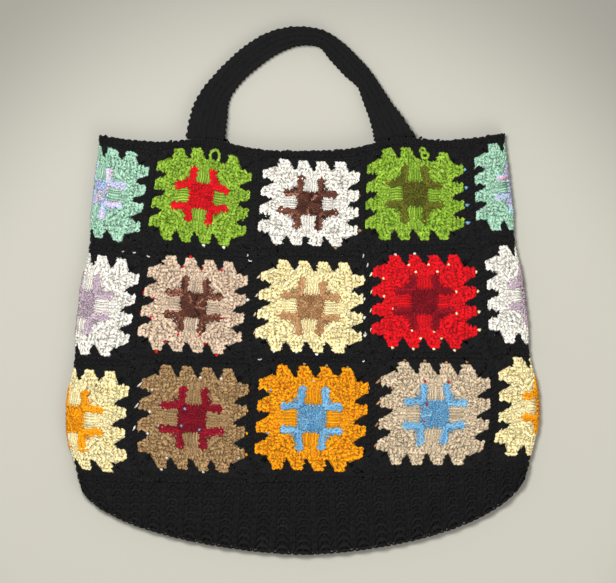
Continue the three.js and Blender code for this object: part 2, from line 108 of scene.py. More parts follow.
@dataclass(frozen=True)
class BagForm:
    """The surface of the bag: a flat tube of eight squares in each of three rows, over a pocket base."""

    thickness: float = 20.0
    wall: float = 3.6
    swell: float = 2.5
    squares_round: int = 8
    base_depth: float = 69.5
    rises: tuple[float, ...] = (115.0, 100.0, 93.0)
    squares: tuple[float, ...] = (116.0, 110.0, 103.0)
    girth_rows: tuple[float, ...] = (0, 0.5, 1.5, 2.5, 3)
    girths: tuple[float, ...] = (110.2, 116.0, 110.0, 103.0, 100.219)
    lines: tuple[JoiningLine, ...] = (
        JoiningLine(116.0, 0.0, 0.07, 0.053, 0.0),
        JoiningLine(116.0, 115.0, 0.017, 0.041, 0.0),
        JoiningLine(110.0, 100.0, 0.1, 0.03, 0.0),
        JoiningLine(103.0, 93.0, 0.155, 0.01, 0.082),
    )
    pull_place: float = 0.47
    pull_spread: float = 0.17
    corner_drop: float = 5.0
    base_width_share: float = 0.985
    base_fan: float = 0.93
    base_round_x: float = 1.6
    base_round_y: float = 1.82
    rounding_share: float = 0.8
    pinch: float = 0.014
    pinch_rows: float = 0.2
    right_trim: float = 0.015
    rest_gap: float = 0.05
    rest_depth: float = 1.0
    origin: tuple[float, float] = (0.007, 251.336)

    @property
    def radius(self) -> float:
        """Outer radius of the folds at the sides."""
        return self.thickness / 2

    @property
    def mouth(self) -> int:
        """Row number of the mouth."""
        return len(self.rises)

    def square_at(self, row: np.ndarray) -> np.ndarray:
        """Width of a square's place at a row."""
        rows = np.clip(row, 0, self.mouth)
        return smooth_through(np.array(self.girth_rows, float), np.array(self.girths), rows)

    def half_width(self, row: np.ndarray) -> np.ndarray:
        """Half the width of the flat bag at a row."""
        return self.squares_round / 4 * self.square_at(row) - (math.pi - 2) * self.radius / 2

    def line_height(self, index: int, across: np.ndarray) -> np.ndarray:
        """Height of a joining line.

        Args:
            index: Number of the line, 0 at the base.
            across: Place from -1 at the left fold to 1 at the right.

        Returns:
            The height over the bottom of the base.
        """
        line = self.lines[index]
        height = self.base_depth + sum(each.rise for each in self.lines[: index + 1])
        pull = np.exp(-(((np.abs(across) - self.pull_place) / self.pull_spread) ** 2))
        return height + line.square * (line.ends * across**2 + line.tilt * across + line.pull * pull)

    def height(self, row: np.ndarray, across: np.ndarray) -> np.ndarray:
        """Height of a row at a place across the bag.

        Args:
            row: Rows up the bag from the base seam.
            across: Place from -1 at the left fold to 1 at the right.

        Returns:
            The height over the bottom of the base.
        """
        below = np.clip(np.floor(row), 0, self.mouth - 1)
        heights = np.stack([self.line_height(i, across) for i in range(self.mouth + 1)])
        low = np.take_along_axis(heights, below[None].astype(int), 0)[0]
        high = np.take_along_axis(heights, below[None].astype(int) + 1, 0)[0]
        return low + (high - low) * (row - below)

    def place(self, turn: np.ndarray, row: np.ndarray, inset: np.ndarray) -> np.ndarray:
        """Points of the tube.

        Args:
            turn: Squares round the bag from the middle of the front.
            row: Rows up the bag from the base seam.
            inset: How far in from the outer face.

        Returns:
            The points, with a last axis of x, y and z.
        """
        turn, row, inset = np.broadcast_arrays(turn, row, inset)
        wrapped = (turn + self.squares_round / 2) % self.squares_round - self.squares_round / 2
        half = self.half_width(row)
        flat = half - self.radius
        arc = np.abs(wrapped) * self.square_at(row)
        fold = math.pi * self.radius
        rise = np.sin(math.pi * (np.clip(row, 0, self.mouth) + 0.5) / (self.mouth + 1))
        angle = np.clip((arc - flat) / self.radius, 0, math.pi)
        crown = self.swell * rise * np.clip(1 - (arc / flat) ** 2, 0, 1)
        x = np.where(
            arc <= flat,
            arc,
            np.where(arc < flat + fold, flat + (self.radius - inset) * np.sin(angle), flat - (arc - flat - fold)),
        )
        z = np.where(arc <= flat, self.thickness - inset + crown, self.radius + (self.radius - inset) * np.cos(angle))
        across = x / half * np.where(wrapped < 0, -1, 1)
        lines = sum(np.exp(-(((row - line) / self.pinch_rows) ** 2)) for line in range(1, self.mouth))
        drawn = self.pinch * lines * across**3 + self.right_trim * np.clip(row, 0, 1) * np.clip(across, 0, 1) ** 3
        return np.stack([(across - drawn) * half, self.height(row, across), z], -1)

    def base_place(self, turn: np.ndarray, share: np.ndarray, inset: np.ndarray) -> np.ndarray:
        """Points of the base pocket.

        Args:
            turn: Squares round the bag from the middle of the front.
            share: From 0 at the seam to 1 at the bottom edge, along the surface.
            inset: How far in from the outer face.

        Returns:
            The points, with a last axis of x, y and z.
        """
        turn, share, inset = np.broadcast_arrays(turn, share, inset)
        half = self.half_width(np.zeros(1))[0]
        seam = self.place(turn, np.zeros_like(turn, float), inset)
        across = np.clip(self.place(turn, np.zeros_like(turn, float), np.zeros_like(inset))[..., 0] / half, -1, 1)
        reach = np.abs(across) ** self.base_fan * np.sign(across)
        corner = self.line_height(0, across) - self.corner_drop
        drop = (1 - np.abs(reach) ** self.base_round_x) ** (1 / self.base_round_y)
        low = np.stack([reach * (half * self.base_width_share - inset), corner - (corner - inset) * drop], -1)
        level = seam[..., 2] - self.radius
        height = np.sign(level) * np.minimum(np.abs(level), self.radius - inset + self.swell)
        flat = seam[..., :2]
        length = np.maximum(np.linalg.norm(low - flat, axis=-1), 1e-3)
        rounding = np.minimum(self.radius - inset, self.rounding_share * length)
        along = share * (length - rounding + rounding * math.pi / 2)
        angle = np.clip((along - (length - rounding)) / rounding, 0, math.pi / 2)
        from_low = np.where(angle > 0, rounding * (1 - np.sin(angle)), length - along)
        plan = low + (flat - low) * (from_low / length)[..., None]
        return np.concatenate([plan, (self.radius + height * np.cos(angle))[..., None]], -1)

    def to_frame(self, points: np.ndarray) -> np.ndarray:
        """Puts points in the CAD frame, with what lies lowest pressed flat on the ground.

        Args:
            points: Points in millimetres.

        Returns:
            The points in metres.
        """
        level, depth = points[..., 2], self.rest_depth - self.rest_gap
        pressed = self.rest_gap + depth * np.exp((np.minimum(level, self.rest_depth) - self.rest_depth) / depth)
        resting = np.where(level < self.rest_depth, pressed, level)
        return (np.stack([points[..., 0], points[..., 1], resting], -1) - np.array([*self.origin, 0.0])) * METRES


FORM = BagForm()


@dataclass(frozen=True)
class YarnFinish:
    """A yarn: its material slot and the colours that follow each other along it, as sRGB."""

    slot: str
    colours: tuple[tuple[int, int, int], ...]
    run: float = 30.0
    depth: float = 0.9

    def linear(self) -> list[tuple[float, float, float, float]]:
        """The colours as linear light.

        Returns:
            Each colour with full alpha.
        """
        out = []
        for colour in self.colours:
            parts = [c / 255 for c in colour]
            out.append((*(p / 12.92 if p <= 0.04045 else ((p + 0.055) / 1.055) ** 2.4 for p in parts), 1.0))
        return out


YARNS = {
    yarn.slot: yarn
    for yarn in (
        YarnFinish("yarn_black", ((9, 9, 10), (16, 16, 17))),
        YarnFinish("yarn_mint", ((138, 184, 157), (168, 203, 181))),
        YarnFinish("yarn_lime", ((112, 150, 34), (146, 180, 60))),
        YarnFinish("yarn_white", ((214, 210, 200), (232, 229, 220))),
        YarnFinish("yarn_beige", ((188, 164, 138), (213, 192, 170))),
        YarnFinish("yarn_cream", ((222, 206, 148), (238, 226, 178))),
        YarnFinish("yarn_red", ((196, 2, 16), (222, 8, 26))),
        YarnFinish("yarn_camel", ((142, 110, 72), (170, 140, 98))),
        YarnFinish("yarn_orange", ((216, 132, 0), (234, 160, 4))),
        YarnFinish("yarn_taupe", ((185, 166, 137), (210, 192, 165))),
        YarnFinish("yarn_pastel", ((206, 160, 190), (150, 196, 190), (168, 176, 220), (226, 190, 206)), 16.0),
        YarnFinish("yarn_brown", ((52, 26, 20), (112, 66, 50), (68, 36, 28), (160, 108, 84)), 18.0),
        YarnFinish("yarn_olive", ((74, 76, 16), (102, 102, 28))),
        YarnFinish("yarn_milk_brown", ((150, 108, 70), (184, 142, 98))),
        YarnFinish("yarn_maroon", ((110, 0, 16), (134, 5, 26))),
        YarnFinish("yarn_lavender", ((162, 142, 156), (188, 170, 180))),
        YarnFinish("yarn_burgundy", ((113, 0, 21), (139, 9, 35))),
        YarnFinish("yarn_blue", ((86, 142, 182), (120, 170, 200))),
        YarnFinish("yarn_scarlet", ((186, 2, 16), (212, 10, 26))),
    )
}


class YarnMaterials:
    """Builds the yarn materials, with one shared node group for the twisted, hairy strand."""

    FIBRE_SCALE = 900.0
    MOTTLE_SCALE = 620.0
    NOISE_DETAIL = 3.0
    PLY_LEAN = 0.45
    HAIR = 0.5
    SPOTS = 1.5
    # Strength of the painted shade in the ply's grooves and the painted light on its ridges.
    PLY_PAINTED_SHADE = 0.2
    COLOUR_SPREAD = 2.2

    def __init__(self) -> None:
        """Builds the group that every yarn uses."""
        self.group = self._strand_group()
        self.made: dict[str, bpy.types.Material] = {}

    def _strand_group(self) -> bpy.types.NodeTree:
        """Makes the node group of a twisted strand.

        Returns:
            A group that gives a tone, with painted shade in the ply's grooves and painted light on its ridges, a
            colour place along the yarn and a height.
        """
        tree = bpy.data.node_groups.new("Twisted yarn strand", "ShaderNodeTree")
        for name, kind, value in (
            ("Ply Pitch", "NodeSocketFloat", 2.2),
            ("Colour Run", "NodeSocketFloat", 30.0),
            ("Tone Spread", "NodeSocketFloat", 0.2),
        ):
            tree.interface.new_socket(name, in_out="INPUT", socket_type=kind).default_value = value
        for name in ("Tone", "Colour Place", "Height"):
            tree.interface.new_socket(name, in_out="OUTPUT", socket_type="NodeSocketFloat")
        nodes, link = tree.nodes, tree.links.new
        given = nodes.new("NodeGroupInput")
        result = nodes.new("NodeGroupOutput")

        def math_node(kind: str, a: object, b: object) -> bpy.types.NodeSocket:
            """Adds a math node.

            Args:
                kind: The node's operation.
                a: First socket or number.
                b: Second socket or number.

            Returns:
                The node's output.
            """
            node = nodes.new("ShaderNodeMath")
            node.operation = kind
            for socket, value in zip(node.inputs, (a, b)):
                if isinstance(value, bpy.types.NodeSocket):
                    link(value, socket)
                else:
                    socket.default_value = value
            return node.outputs[0]

        strand = nodes.new("ShaderNodeAttribute")
        strand.attribute_name = "strand"
        stitch = nodes.new("ShaderNodeAttribute")
        stitch.attribute_name = "stitch"
        along = nodes.new("ShaderNodeSeparateXYZ")
        link(strand.outputs["Vector"], along.inputs[0])
        kept = nodes.new("ShaderNodeSeparateXYZ")
        link(stitch.outputs["Vector"], kept.inputs[0])
        place = nodes.new("ShaderNodeTexCoord")
        fibre = nodes.new("ShaderNodeTexNoise")
        fibre.inputs["Scale"].default_value = self.FIBRE_SCALE
        fibre.inputs["Detail"].default_value = self.NOISE_DETAIL
        link(place.outputs["Object"], fibre.inputs["Vector"])
        mottle = nodes.new("ShaderNodeTexNoise")
        mottle.inputs["Scale"].default_value = self.MOTTLE_SCALE
        mottle.inputs["Detail"].default_value = self.NOISE_DETAIL
        link(place.outputs["Object"], mottle.inputs["Vector"])
        turns = math_node("DIVIDE", along.outputs[0], given.outputs["Ply Pitch"])
        lean = math_node("MULTIPLY", along.outputs[1], self.PLY_LEAN)
        phase = math_node("MULTIPLY", math_node("ADD", turns, lean), math.tau)
        ply = math_node("SINE", phase, 0.0)
        groove = math_node("MULTIPLY_ADD", ply, 0.5)
        groove.node.inputs[2].default_value = 0.5
        hair = math_node("MULTIPLY", fibre.outputs[0], self.HAIR)
        link(math_node("ADD", groove, hair), result.inputs["Height"])
        random = math_node("MULTIPLY", kept.outputs[0], given.outputs["Tone Spread"])
        spots = math_node("MULTIPLY", math_node("SUBTRACT", mottle.outputs[0], 0.5), self.SPOTS)
        # Painted shade and light: the tone follows the ply's bump, darker in its grooves and lighter on its ridges.
        ridge = math_node("MULTIPLY", math_node("SUBTRACT", groove, 0.6), self.PLY_PAINTED_SHADE)
        tone = math_node("ADD", math_node("ADD", random, spots), ridge)
        link(math_node("ADD", tone, 1.0), result.inputs["Tone"])
        run = math_node("DIVIDE", kept.outputs[1], given.outputs["Colour Run"])
        flow = nodes.new("ShaderNodeTexNoise")
        flow.noise_dimensions = "1D"
        flow.inputs["Scale"].default_value = 1.0
        flow.inputs["Detail"].default_value = 1.0
        link(run, flow.inputs["W"])
        spread = math_node("MULTIPLY_ADD", math_node("SUBTRACT", flow.outputs[0], 0.5), self.COLOUR_SPREAD)
        spread.node.inputs[2].default_value = 0.5
        link(spread, result.inputs["Colour Place"])
        return tree

    def get(self, slot: str) -> bpy.types.Material:
        """The material of a yarn.

        Args:
            slot: Name of the record's material slot.

        Returns:
            The material, made at the first call.
        """
        if slot not in self.made:
            self.made[slot] = self._dress(YARNS[slot])
        return self.made[slot]

    def _dress(self, yarn: YarnFinish) -> bpy.types.Material:
        """Makes one yarn's material.

        Args:
            yarn: The finish to make.

        Returns:
            The material.
        """
        material = bpy.data.materials.new(yarn.slot)
        material.use_nodes = True
        nodes, link = material.node_tree.nodes, material.node_tree.links.new
        shader = nodes["Principled BSDF"]
        strand = nodes.new("ShaderNodeGroup")
        strand.node_tree = self.group
        strand.inputs["Colour Run"].default_value = yarn.run
        ramp = nodes.new("ShaderNodeValToRGB")
        colours = yarn.linear()
        stops = ramp.color_ramp.elements
        while len(stops) < len(colours):
            stops.new(0.5)
        for i, colour in enumerate(colours):
            stops[i].position = 0.15 + 0.7 * i / (len(colours) - 1)
            stops[i].color = colour
        link(strand.outputs["Colour Place"], ramp.inputs[0])
        toned = nodes.new("ShaderNodeVectorMath")
        toned.operation = "SCALE"
        link(ramp.outputs["Color"], toned.inputs[0])
        link(strand.outputs["Tone"], toned.inputs["Scale"])
        link(toned.outputs[0], shader.inputs["Base Color"])
        bump = nodes.new("ShaderNodeBump")
        bump.inputs["Strength"].default_value = yarn.depth
        bump.inputs["Distance"].default_value = 0.0003
        link(strand.outputs["Height"], bump.inputs["Height"])
        link(bump.outputs[0], shader.inputs["Normal"])
        shader.inputs["Roughness"].default_value = 0.86
        shader.inputs["Specular IOR Level"].default_value = 0.2
        shader.inputs["Sheen Weight"].default_value = 0.02
        shader.inputs["Sheen Roughness"].default_value = 0.5
        return material


@dataclass(frozen=True)
class Strand:
    """One strand of a stitch: its points as along, across and up, in millimetres."""

    points: tuple[tuple[float, float, float], ...]
    radius: float
    swell: tuple[float, ...] = ()


@dataclass
class StitchMesh:
    """The mesh of one stitch: points, four-cornered faces and where each point is on its strand."""

    points: np.ndarray
    faces: np.ndarray
    strand: np.ndarray


@dataclass(frozen=True)
class Stitch:
    """A stitch modelled once, to be laid in copies."""

    name: str
    strands: tuple[Strand, ...]

    def model(self) -> StitchMesh:
        """Models the stitch as curves with a round section and makes them one mesh.

        Returns:
            The mesh as arrays.
        """
        bpy.ops.object.select_all(action="DESELECT")
        curve = bpy.data.curves.new(self.name, "CURVE")
        curve.dimensions = "3D"
        curve.use_fill_caps = True
        curve.bevel_resolution = 0
        curve.bevel_depth = 1.0
        curve.resolution_u = 1
        for strand in self.strands:
            spline = curve.splines.new("POLY")
            spline.points.add(len(strand.points) - 1)
            for i, (point, place) in enumerate(zip(spline.points, strand.points)):
                point.co = (*place, 1)
                point.radius = strand.radius * (strand.swell[i] if strand.swell else 1.0)
        shape = bpy.data.objects.new(self.name, curve)
        bpy.context.scene.collection.objects.link(shape)
        shape.select_set(True)
        bpy.context.view_layer.objects.active = shape
        bpy.ops.object.convert(target="MESH")
        shape = bpy.context.view_layer.objects.active
        bpy.ops.object.mode_set(mode="EDIT")
        bpy.ops.mesh.select_all(action="SELECT")
        bpy.ops.mesh.remove_doubles(threshold=1e-5)
        bpy.ops.mesh.tris_convert_to_quads()
        bpy.ops.object.mode_set(mode="OBJECT")
        mesh = shape.data
        points = np.array([v.co for v in mesh.vertices], float)
        quads = np.array([list(p.vertices) for p in mesh.polygons])
        if volume(points, quads) < 0:
            quads = quads[:, ::-1]
        middles = np.concatenate([np.array(s.points, float) for s in self.strands])
        nearest = np.argmin(np.linalg.norm(points[:, None] - middles[None], axis=-1), 1)
        strand_place = np.stack([points[:, 0], points[:, 1] - middles[nearest, 1], points[:, 2]], -1)
        bpy.data.objects.remove(shape, do_unlink=True)
        bpy.data.meshes.remove(mesh)
        return StitchMesh(points, quads, strand_place)


def lumpy(length: float, steps: int, seed: int) -> Strand:
    """A thick strand of uneven lumps, as the wraps of a stitch make.

    Args:
        length: Length of the strand.
        steps: Straight parts.
        seed: Seed of its lumps.

    Returns:
        The strand.
    """
    chance = np.random.default_rng(seed)
    lumps = [(i + seed) % 2 for i in range(steps + 1)]
    sway = [(2 * lump - 1) * float(chance.uniform(0.3, 1.5)) for lump in lumps]
    rise = [float(chance.uniform(-0.4, 0.45)) for _ in lumps]
    swell = tuple(float(chance.uniform(0.85, 1.2)) for _ in lumps)
    points = tuple((length * i / steps, sway[i], rise[i]) for i in range(steps + 1))
    return Strand(points, 1.36, swell)


POST_LENGTH = 14.0
POSTS = tuple(Stitch(f"post {seed}", (lumpy(POST_LENGTH, 7, seed),)) for seed in range(8))
THREAD = Stitch("thread", (Strand(((0.0, 0.2, -0.2), (7.0, -0.3, 0.25), (POST_LENGTH, 0.2, -0.2)), 0.68),))
LOOP = Stitch(
    "top loop",
    (Strand(((-1.3, -1.9, -0.3), (0.3, -1.2, 0.25), (0.8, 0.0, 0.4), (0.3, 1.2, 0.25), (-1.3, 1.9, -0.3)), 0.9),),
)
ARCH = Stitch(
    "rib arch",
    (
        Strand(
            (
                (4.2, -4.6, -0.7), (0.6, -4.3, 0.2), (-2.2, -2.0, 0.6),
                (-2.2, 2.0, 0.6), (0.6, 4.3, 0.2), (4.2, 4.6, -0.7),
            ),
            1.3,
        ),
        Strand(((-0.4, 0.0, -1.2), (1.8, 0.0, -0.5), (4.4, 0.0, -1.0)), 1.2),
    ),
)
VEE = Stitch(
    "vee",
    (
        Strand(((-2.6, -2.0, -0.5), (0.2, -1.35, 0.35), (3.0, -0.5, -0.5)), 1.0),
        Strand(((-2.6, 2.0, -0.5), (0.2, 1.35, 0.35), (3.0, 0.5, -0.5)), 1.0),
    ),
)
KNOT = Stitch("knot", (Strand(((-1.1, 0.3, -0.5), (0.0, -0.2, 0.3), (1.1, 0.2, -0.5)), 0.95),))
STITCHES = {"post": POSTS, "thread": (THREAD,), "loop": (LOOP,), "arch": (ARCH,), "vee": (VEE,), "knot": (KNOT,)}


def volume(points: np.ndarray, faces: np.ndarray) -> float:
    """Volume within four-cornered faces, below zero where they face inwards."""
    a, b, c, d = (points[faces[:, k]] for k in range(4))
    return float((np.cross(b - a, c - a) * (a + b + c)).sum() + (np.cross(c - a, d - a) * (a + c + d)).sum())


class Fabric:
    """Gathers closed shells and laid stitches into one piece of crochet."""

    INSET_SLACK = 0.15
    TONE_SPREAD = 0.6
    TONE_LIMIT = 1.2
    # Tone of the backing cloth: painted shade, so that it reads dark in the gaps between the stitches.
    SHELL_PAINTED_SHADE = -1.2
    RUN_STEP = 9.0
    RUN_LENGTH = 4000.0

    def __init__(self, name: str, slot: str, seed: int) -> None:
        """Starts an empty piece.

        Args:
            name: Name of the piece.
            slot: Material slot of its yarn.
            seed: Seed of its small irregularities.
        """
        self.name = name
        self.slot = slot
        self.chance = np.random.default_rng(seed)
        self.points: list[np.ndarray] = []
        self.faces: list[np.ndarray] = []
        self.strand: list[np.ndarray] = []
        self.stitch: list[np.ndarray] = []
        self.count = 0

    def add(self, points: np.ndarray, faces: np.ndarray, strand: np.ndarray, stitch: np.ndarray) -> None:
        """Adds one body or many copies of it.

        Args:
            points: Points in millimetres, shaped (copies, points, 3).
            faces: Faces of one copy.
            strand: Place of each point of one copy on its strand.
            stitch: Tone and yarn place of each copy, shaped (copies, 2).
        """
        copies, size = points.shape[:2]
        starts = self.count + size * np.arange(copies)
        self.points.append(points.reshape(-1, 3))
        self.faces.append((faces[None] + starts[:, None, None]).reshape(-1, 4))
        self.strand.append(np.tile(strand, (copies, 1)))
        kept = np.concatenate([stitch, np.zeros((copies, 1))], 1)
        self.stitch.append(np.repeat(kept, size, 0))
        self.count += copies * size

    def lay(
        self, kinds: tuple[StitchMesh, ...], surface: Surface, starts: np.ndarray, ends: np.ndarray, *,
        length: float | None = None, inset: float = 1.9, width: float = 1.0, jitter: float = 0.25,
    ) -> None:
        """Lays copies of a stitch on a surface.

        Args:
            kinds: The stitch, in one or more kinds that take turns.
            surface: Gives points in space for millimetres on the flat and an inset.
            starts: Where each copy starts on the flat, shaped (copies, 2).
            ends: Where each copy ends, or which way it points, on the flat.
            length: The stitch's own length where it is stretched from start to end.
            inset: How far in from the outer face the stitch lies.
            width: Scale across the stitch.
            jitter: Spread of the slips at both ends, in millimetres.
        """
        starts = starts + self.chance.normal(0, jitter, np.shape(starts))
        ends = ends + self.chance.normal(0, jitter, np.shape(ends))
        copies = len(starts)
        depth = inset + self.chance.uniform(-self.INSET_SLACK, self.INSET_SLACK, copies)
        way = ends - starts
        reach = np.maximum(np.linalg.norm(way, axis=1, keepdims=True), 1e-6)
        ahead = way / reach
        side = np.stack([-ahead[:, 1], ahead[:, 0]], 1)
        scale = np.ones((copies, 1)) if length is None else reach / length
        run = np.arange(copies) * self.RUN_STEP + self.chance.uniform(0, self.RUN_LENGTH)
        tone = np.clip(self.chance.normal(0, self.TONE_SPREAD, copies), -self.TONE_LIMIT, self.TONE_LIMIT)
        kept = np.stack([tone, run], 1)
        for i, mesh in enumerate(kinds):
            mine = slice(i, None, len(kinds))
            along = mesh.points[None, :, 0] * scale[mine]
            across = mesh.points[None, :, 1] * width
            flat = starts[mine, None] + along[..., None] * ahead[mine, None] + across[..., None] * side[mine, None]
            if flat.size:
                points = surface(flat[..., 0], flat[..., 1], depth[mine, None] - mesh.points[None, :, 2])
                self.add(points, mesh.faces, mesh.strand, kept[mine])

    def shell(self, rings: np.ndarray, closed: bool = True) -> None:
        """Adds a closed band of fabric from a closed section that is swept, darkened with painted shade.

        Args:
            rings: Points shaped (places, section, 3).
            closed: Whether the last place joins the first; otherwise both ends are capped.
        """
        count, size = rings.shape[:2]
        last = count if closed else count - 1
        i, j = np.meshgrid(np.arange(last), np.arange(size), indexing="ij")
        after, beside = (i + 1) % count, (j + 1) % size
        faces = np.stack([i * size + j, i * size + beside, after * size + beside, after * size + j], -1).reshape(-1, 4)
        if not closed:
            k = np.arange(size // 2 - 1)
            cap = np.stack([k, size - 1 - k, size - 2 - k, k + 1], -1)
            faces = np.concatenate([faces, cap, cap[:, ::-1] + (count - 1) * size])
        points = rings.reshape(-1, 3)
        if volume(points, faces) < 0:
            faces = faces[:, ::-1]
        # The backing cloth gets a darker tone: painted shade for the gaps between the stitches.
        self.add(points[None], faces, np.zeros((count * size, 3)), np.array([[self.SHELL_PAINTED_SHADE, 0.0]]))

    def make(self, materials: YarnMaterials, replaced: tuple[str, ...] = ()) -> None:
        """Makes the piece and hands it to the frame.

        Args:
            materials: The yarn materials.
            replaced: CAD nodes that the piece stands for.
        """
        mesh = bpy.data.meshes.new(self.name)
        points = FORM.to_frame(np.concatenate(self.points)).astype(np.float32)
        faces = np.concatenate(self.faces).astype(np.int32)
        mesh.vertices.add(len(points))
        mesh.vertices.foreach_set("co", points.ravel())
        mesh.loops.add(faces.size)
        mesh.loops.foreach_set("vertex_index", faces.ravel())
        mesh.polygons.add(len(faces))
        mesh.polygons.foreach_set("loop_start", np.arange(0, faces.size, 4, dtype=np.int32))
        mesh.update(calc_edges=True)
        for name, values in (("strand", self.strand), ("stitch", self.stitch)):
            attribute = mesh.attributes.new(name, "FLOAT_VECTOR", "POINT")
            attribute.data.foreach_set("vector", np.concatenate(values).astype(np.float32).ravel())
        mesh.shade_smooth()
        piece = bpy.data.objects.new(self.name, mesh)
        bpy.context.scene.collection.objects.link(piece)
        mesh.materials.append(materials.get(self.slot))
        if replaced:
            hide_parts(*replaced)
        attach(piece, "root")
        LOG.info("%s: %d faces", self.name, len(faces))


@dataclass(frozen=True)
class StitchSet:
    """The stitches, each modelled once."""

    post: tuple[StitchMesh, ...]
    thread: tuple[StitchMesh, ...]
    loop: tuple[StitchMesh, ...]
    arch: tuple[StitchMesh, ...]
    vee: tuple[StitchMesh, ...]
    knot: tuple[StitchMesh, ...]

    @classmethod
    def modelled(cls) -> "StitchSet":
        """Models every stitch."""
        return cls(**{name: tuple(kind.model() for kind in kinds) for name, kinds in STITCHES.items()})


@dataclass(frozen=True)
class GrannySquare:
    """One granny square's place on the bag, and the plan of its stitches as shares of its width and rise."""

    row: int
    start: float
    turns: float
    slip: tuple[float, float] = (0.0, 0.0)
    pitch: float = 0.177
    tip_x: float = 0.455
    tip_y: float = 0.43
    valley_x: float = 0.36
    valley_y: float = 0.345
    border: float = 0.5
    twist: float = math.radians(-4)
    arm_place: float = 0.094
    arm_end: float = 0.262
    hub: float = 0.122
    round_three: float = 0.325
    chain_reach: float = 0.335
    loose: bool = False

    LOOSE_SPIKE = (1, 1)
    SPIKE_SHAPE = np.array([-0.2, 0.22, 0.31, 0.42])
    SPIKE_FEET = np.array([-0.5, -0.31, -0.1, 0.08, 0.26])
    SPIKE_HEADS = np.array([-0.16, -0.08, 0.02, 0.11, 0.19])
    SPIKE_SHORT = np.array([0.016, 0.004, 0.002, 0.004, 0.01])
    SPIKE_CREST = np.array([-0.14, 0.02, 0.17])
    VALLEY_PLACE = 0.36
    KNOT_SLANT = 0.75
    WINDOW = 0.052
    CLUSTERS = (0.08, 0.305)
    ARM_COVER = 0.14
    ARM_FAN = 0.16
    ARM_KNOTS = (0.236, 0.257, 0.278, 0.3)
    SEAM = 0.48

    @property
    def size(self) -> np.ndarray:
        """Width and rise in millimetres."""
        return np.array([self.turns * FORM.squares[self.row], FORM.rises[self.row]])

    def surface(self, x: np.ndarray, y: np.ndarray, inset: np.ndarray) -> np.ndarray:
        """Points of the square's place, from millimetres on the flat.

        Args:
            x: Place across the square from its middle.
            y: Place up the square from its middle.
            inset: How far in from the outer face.

        Returns:
            The points in space.
        """
        width, rise = self.size
        u, v = x / width, y / rise
        edge = np.maximum(np.abs(u), np.abs(v))
        inside = np.clip((self.border - edge) / (self.border - self.tip_x), 0, 1)
        turned = self.twist * inside
        u, v = u * np.cos(turned) - v * np.sin(turned), u * np.sin(turned) + v * np.cos(turned)
        u, v = u + inside * self.slip[0] / width, v + inside * self.slip[1] / rise
        return FORM.place(self.start + self.turns * (0.5 + u), self.row + 0.5 + v, inset)

    def side(self, quarter: int, out: np.ndarray, along: np.ndarray) -> np.ndarray:
        """Points in millimetres from shares out from the middle and along one side.

        Args:
            quarter: Side number, anticlockwise from the right.
            out: Share out from the middle, towards the side.
            along: Share along the side, anticlockwise.

        Returns:
            The points, with a last axis of x and y.
        """
        out, along = np.broadcast_arrays(np.asarray(out, float), np.asarray(along, float))
        c, s = math.cos(quarter * math.pi / 2), math.sin(quarter * math.pi / 2)
        return np.stack([c * out - s * along, s * out + c * along], -1) * self.size

    def tip(self, quarter: int) -> float:
        """How far out the spikes of a side reach."""
        return self.tip_x if quarter % 2 == 0 else self.tip_y

    def valley(self, quarter: int) -> float:
        """How far out the cloth reaches between the spikes of a side."""
        return self.valley_x if quarter % 2 == 0 else self.valley_y

    def spike_places(self) -> np.ndarray:
        """Where the four spikes of a side stand."""
        return (np.arange(4) - 1.5) * self.pitch

    def is_loose(self, quarter: int, number: int) -> bool:
        """Whether a spike has come undone."""
        return self.loose and (quarter, number) == self.LOOSE_SPIKE

    def spiky_outline(self, shrink: float = 0.0) -> np.ndarray:
        """The outline of the coloured field: each spike is steep on its anticlockwise side.

        Args:
            shrink: Share by which the outline is drawn in.

        Returns:
            Points in millimetres, anticlockwise.
        """
        points = []
        for quarter in range(4):
            tip, valley = self.tip(quarter) - shrink, self.valley(quarter) - shrink
            outs, alongs = [valley], [-self.spike_places()[-1] - 0.5 * self.pitch]
            for number, place in enumerate(self.spike_places()):
                end = valley if self.is_loose(quarter, number) else tip
                outs += [end, end, valley, valley]
                alongs += list(place + self.pitch * self.SPIKE_SHAPE)
            points.append(self.side(quarter, np.array(outs), np.array(alongs)))
        corners = np.concatenate(points)
        between = (corners + np.roll(corners, -1, 0)) / 2
        return np.stack([corners, between], 1).reshape(-1, 2)

    def band(self, fabric: Fabric, outer: np.ndarray, inner: np.ndarray, top: float, parts: int) -> None:
        """Adds a flat band of fabric between two outlines.

        Args:
            fabric: The piece to add to.
            outer: Outer outline in millimetres.
            inner: Inner outline, with as many points.
            top: Inset of the band's upper face.
            parts: Parts from the outer outline to the inner.
        """
        shares = np.linspace(0, 1, parts + 1)
        flat = [outer + (inner - outer) * share for share in shares]
        rings = [self.surface(p[:, 0], p[:, 1], np.full(len(p), top)) for p in flat]
        rings += [self.surface(p[:, 0], p[:, 1], np.full(len(p), FORM.wall)) for p in reversed(flat)]
        fabric.shell(np.stack(rings))

    def knobs(
        self, fabric: Fabric, stitches: StitchSet, starts: np.ndarray, ends: np.ndarray, steps: int, inset: float = 1.4
    ) -> None:
        """Lays chains of slanting knots, as the wraps of tall stitches show.

        Args:
            fabric: The piece to add to.
            stitches: The stitches.
            starts: Where each chain starts, in millimetres on the flat.
            ends: Where each chain ends.
            steps: Knots in each chain.
            inset: How far in from the outer face the knots lie.
        """
        way = ends - starts
        across = np.stack([-way[:, 1], way[:, 0]], -1)
        for step in range(steps):
            slant = way + across * (self.KNOT_SLANT if step % 2 else -self.KNOT_SLANT)
            slant = slant / np.linalg.norm(slant, axis=1, keepdims=True)
            middles = starts + way * ((step + 0.5) / steps)
            fabric.lay(
                stitches.knot, self.surface, middles, middles + slant * 2,
                length=1.25, inset=inset + 0.25 * (step % 2), width=1.45, jitter=0.42,
            )

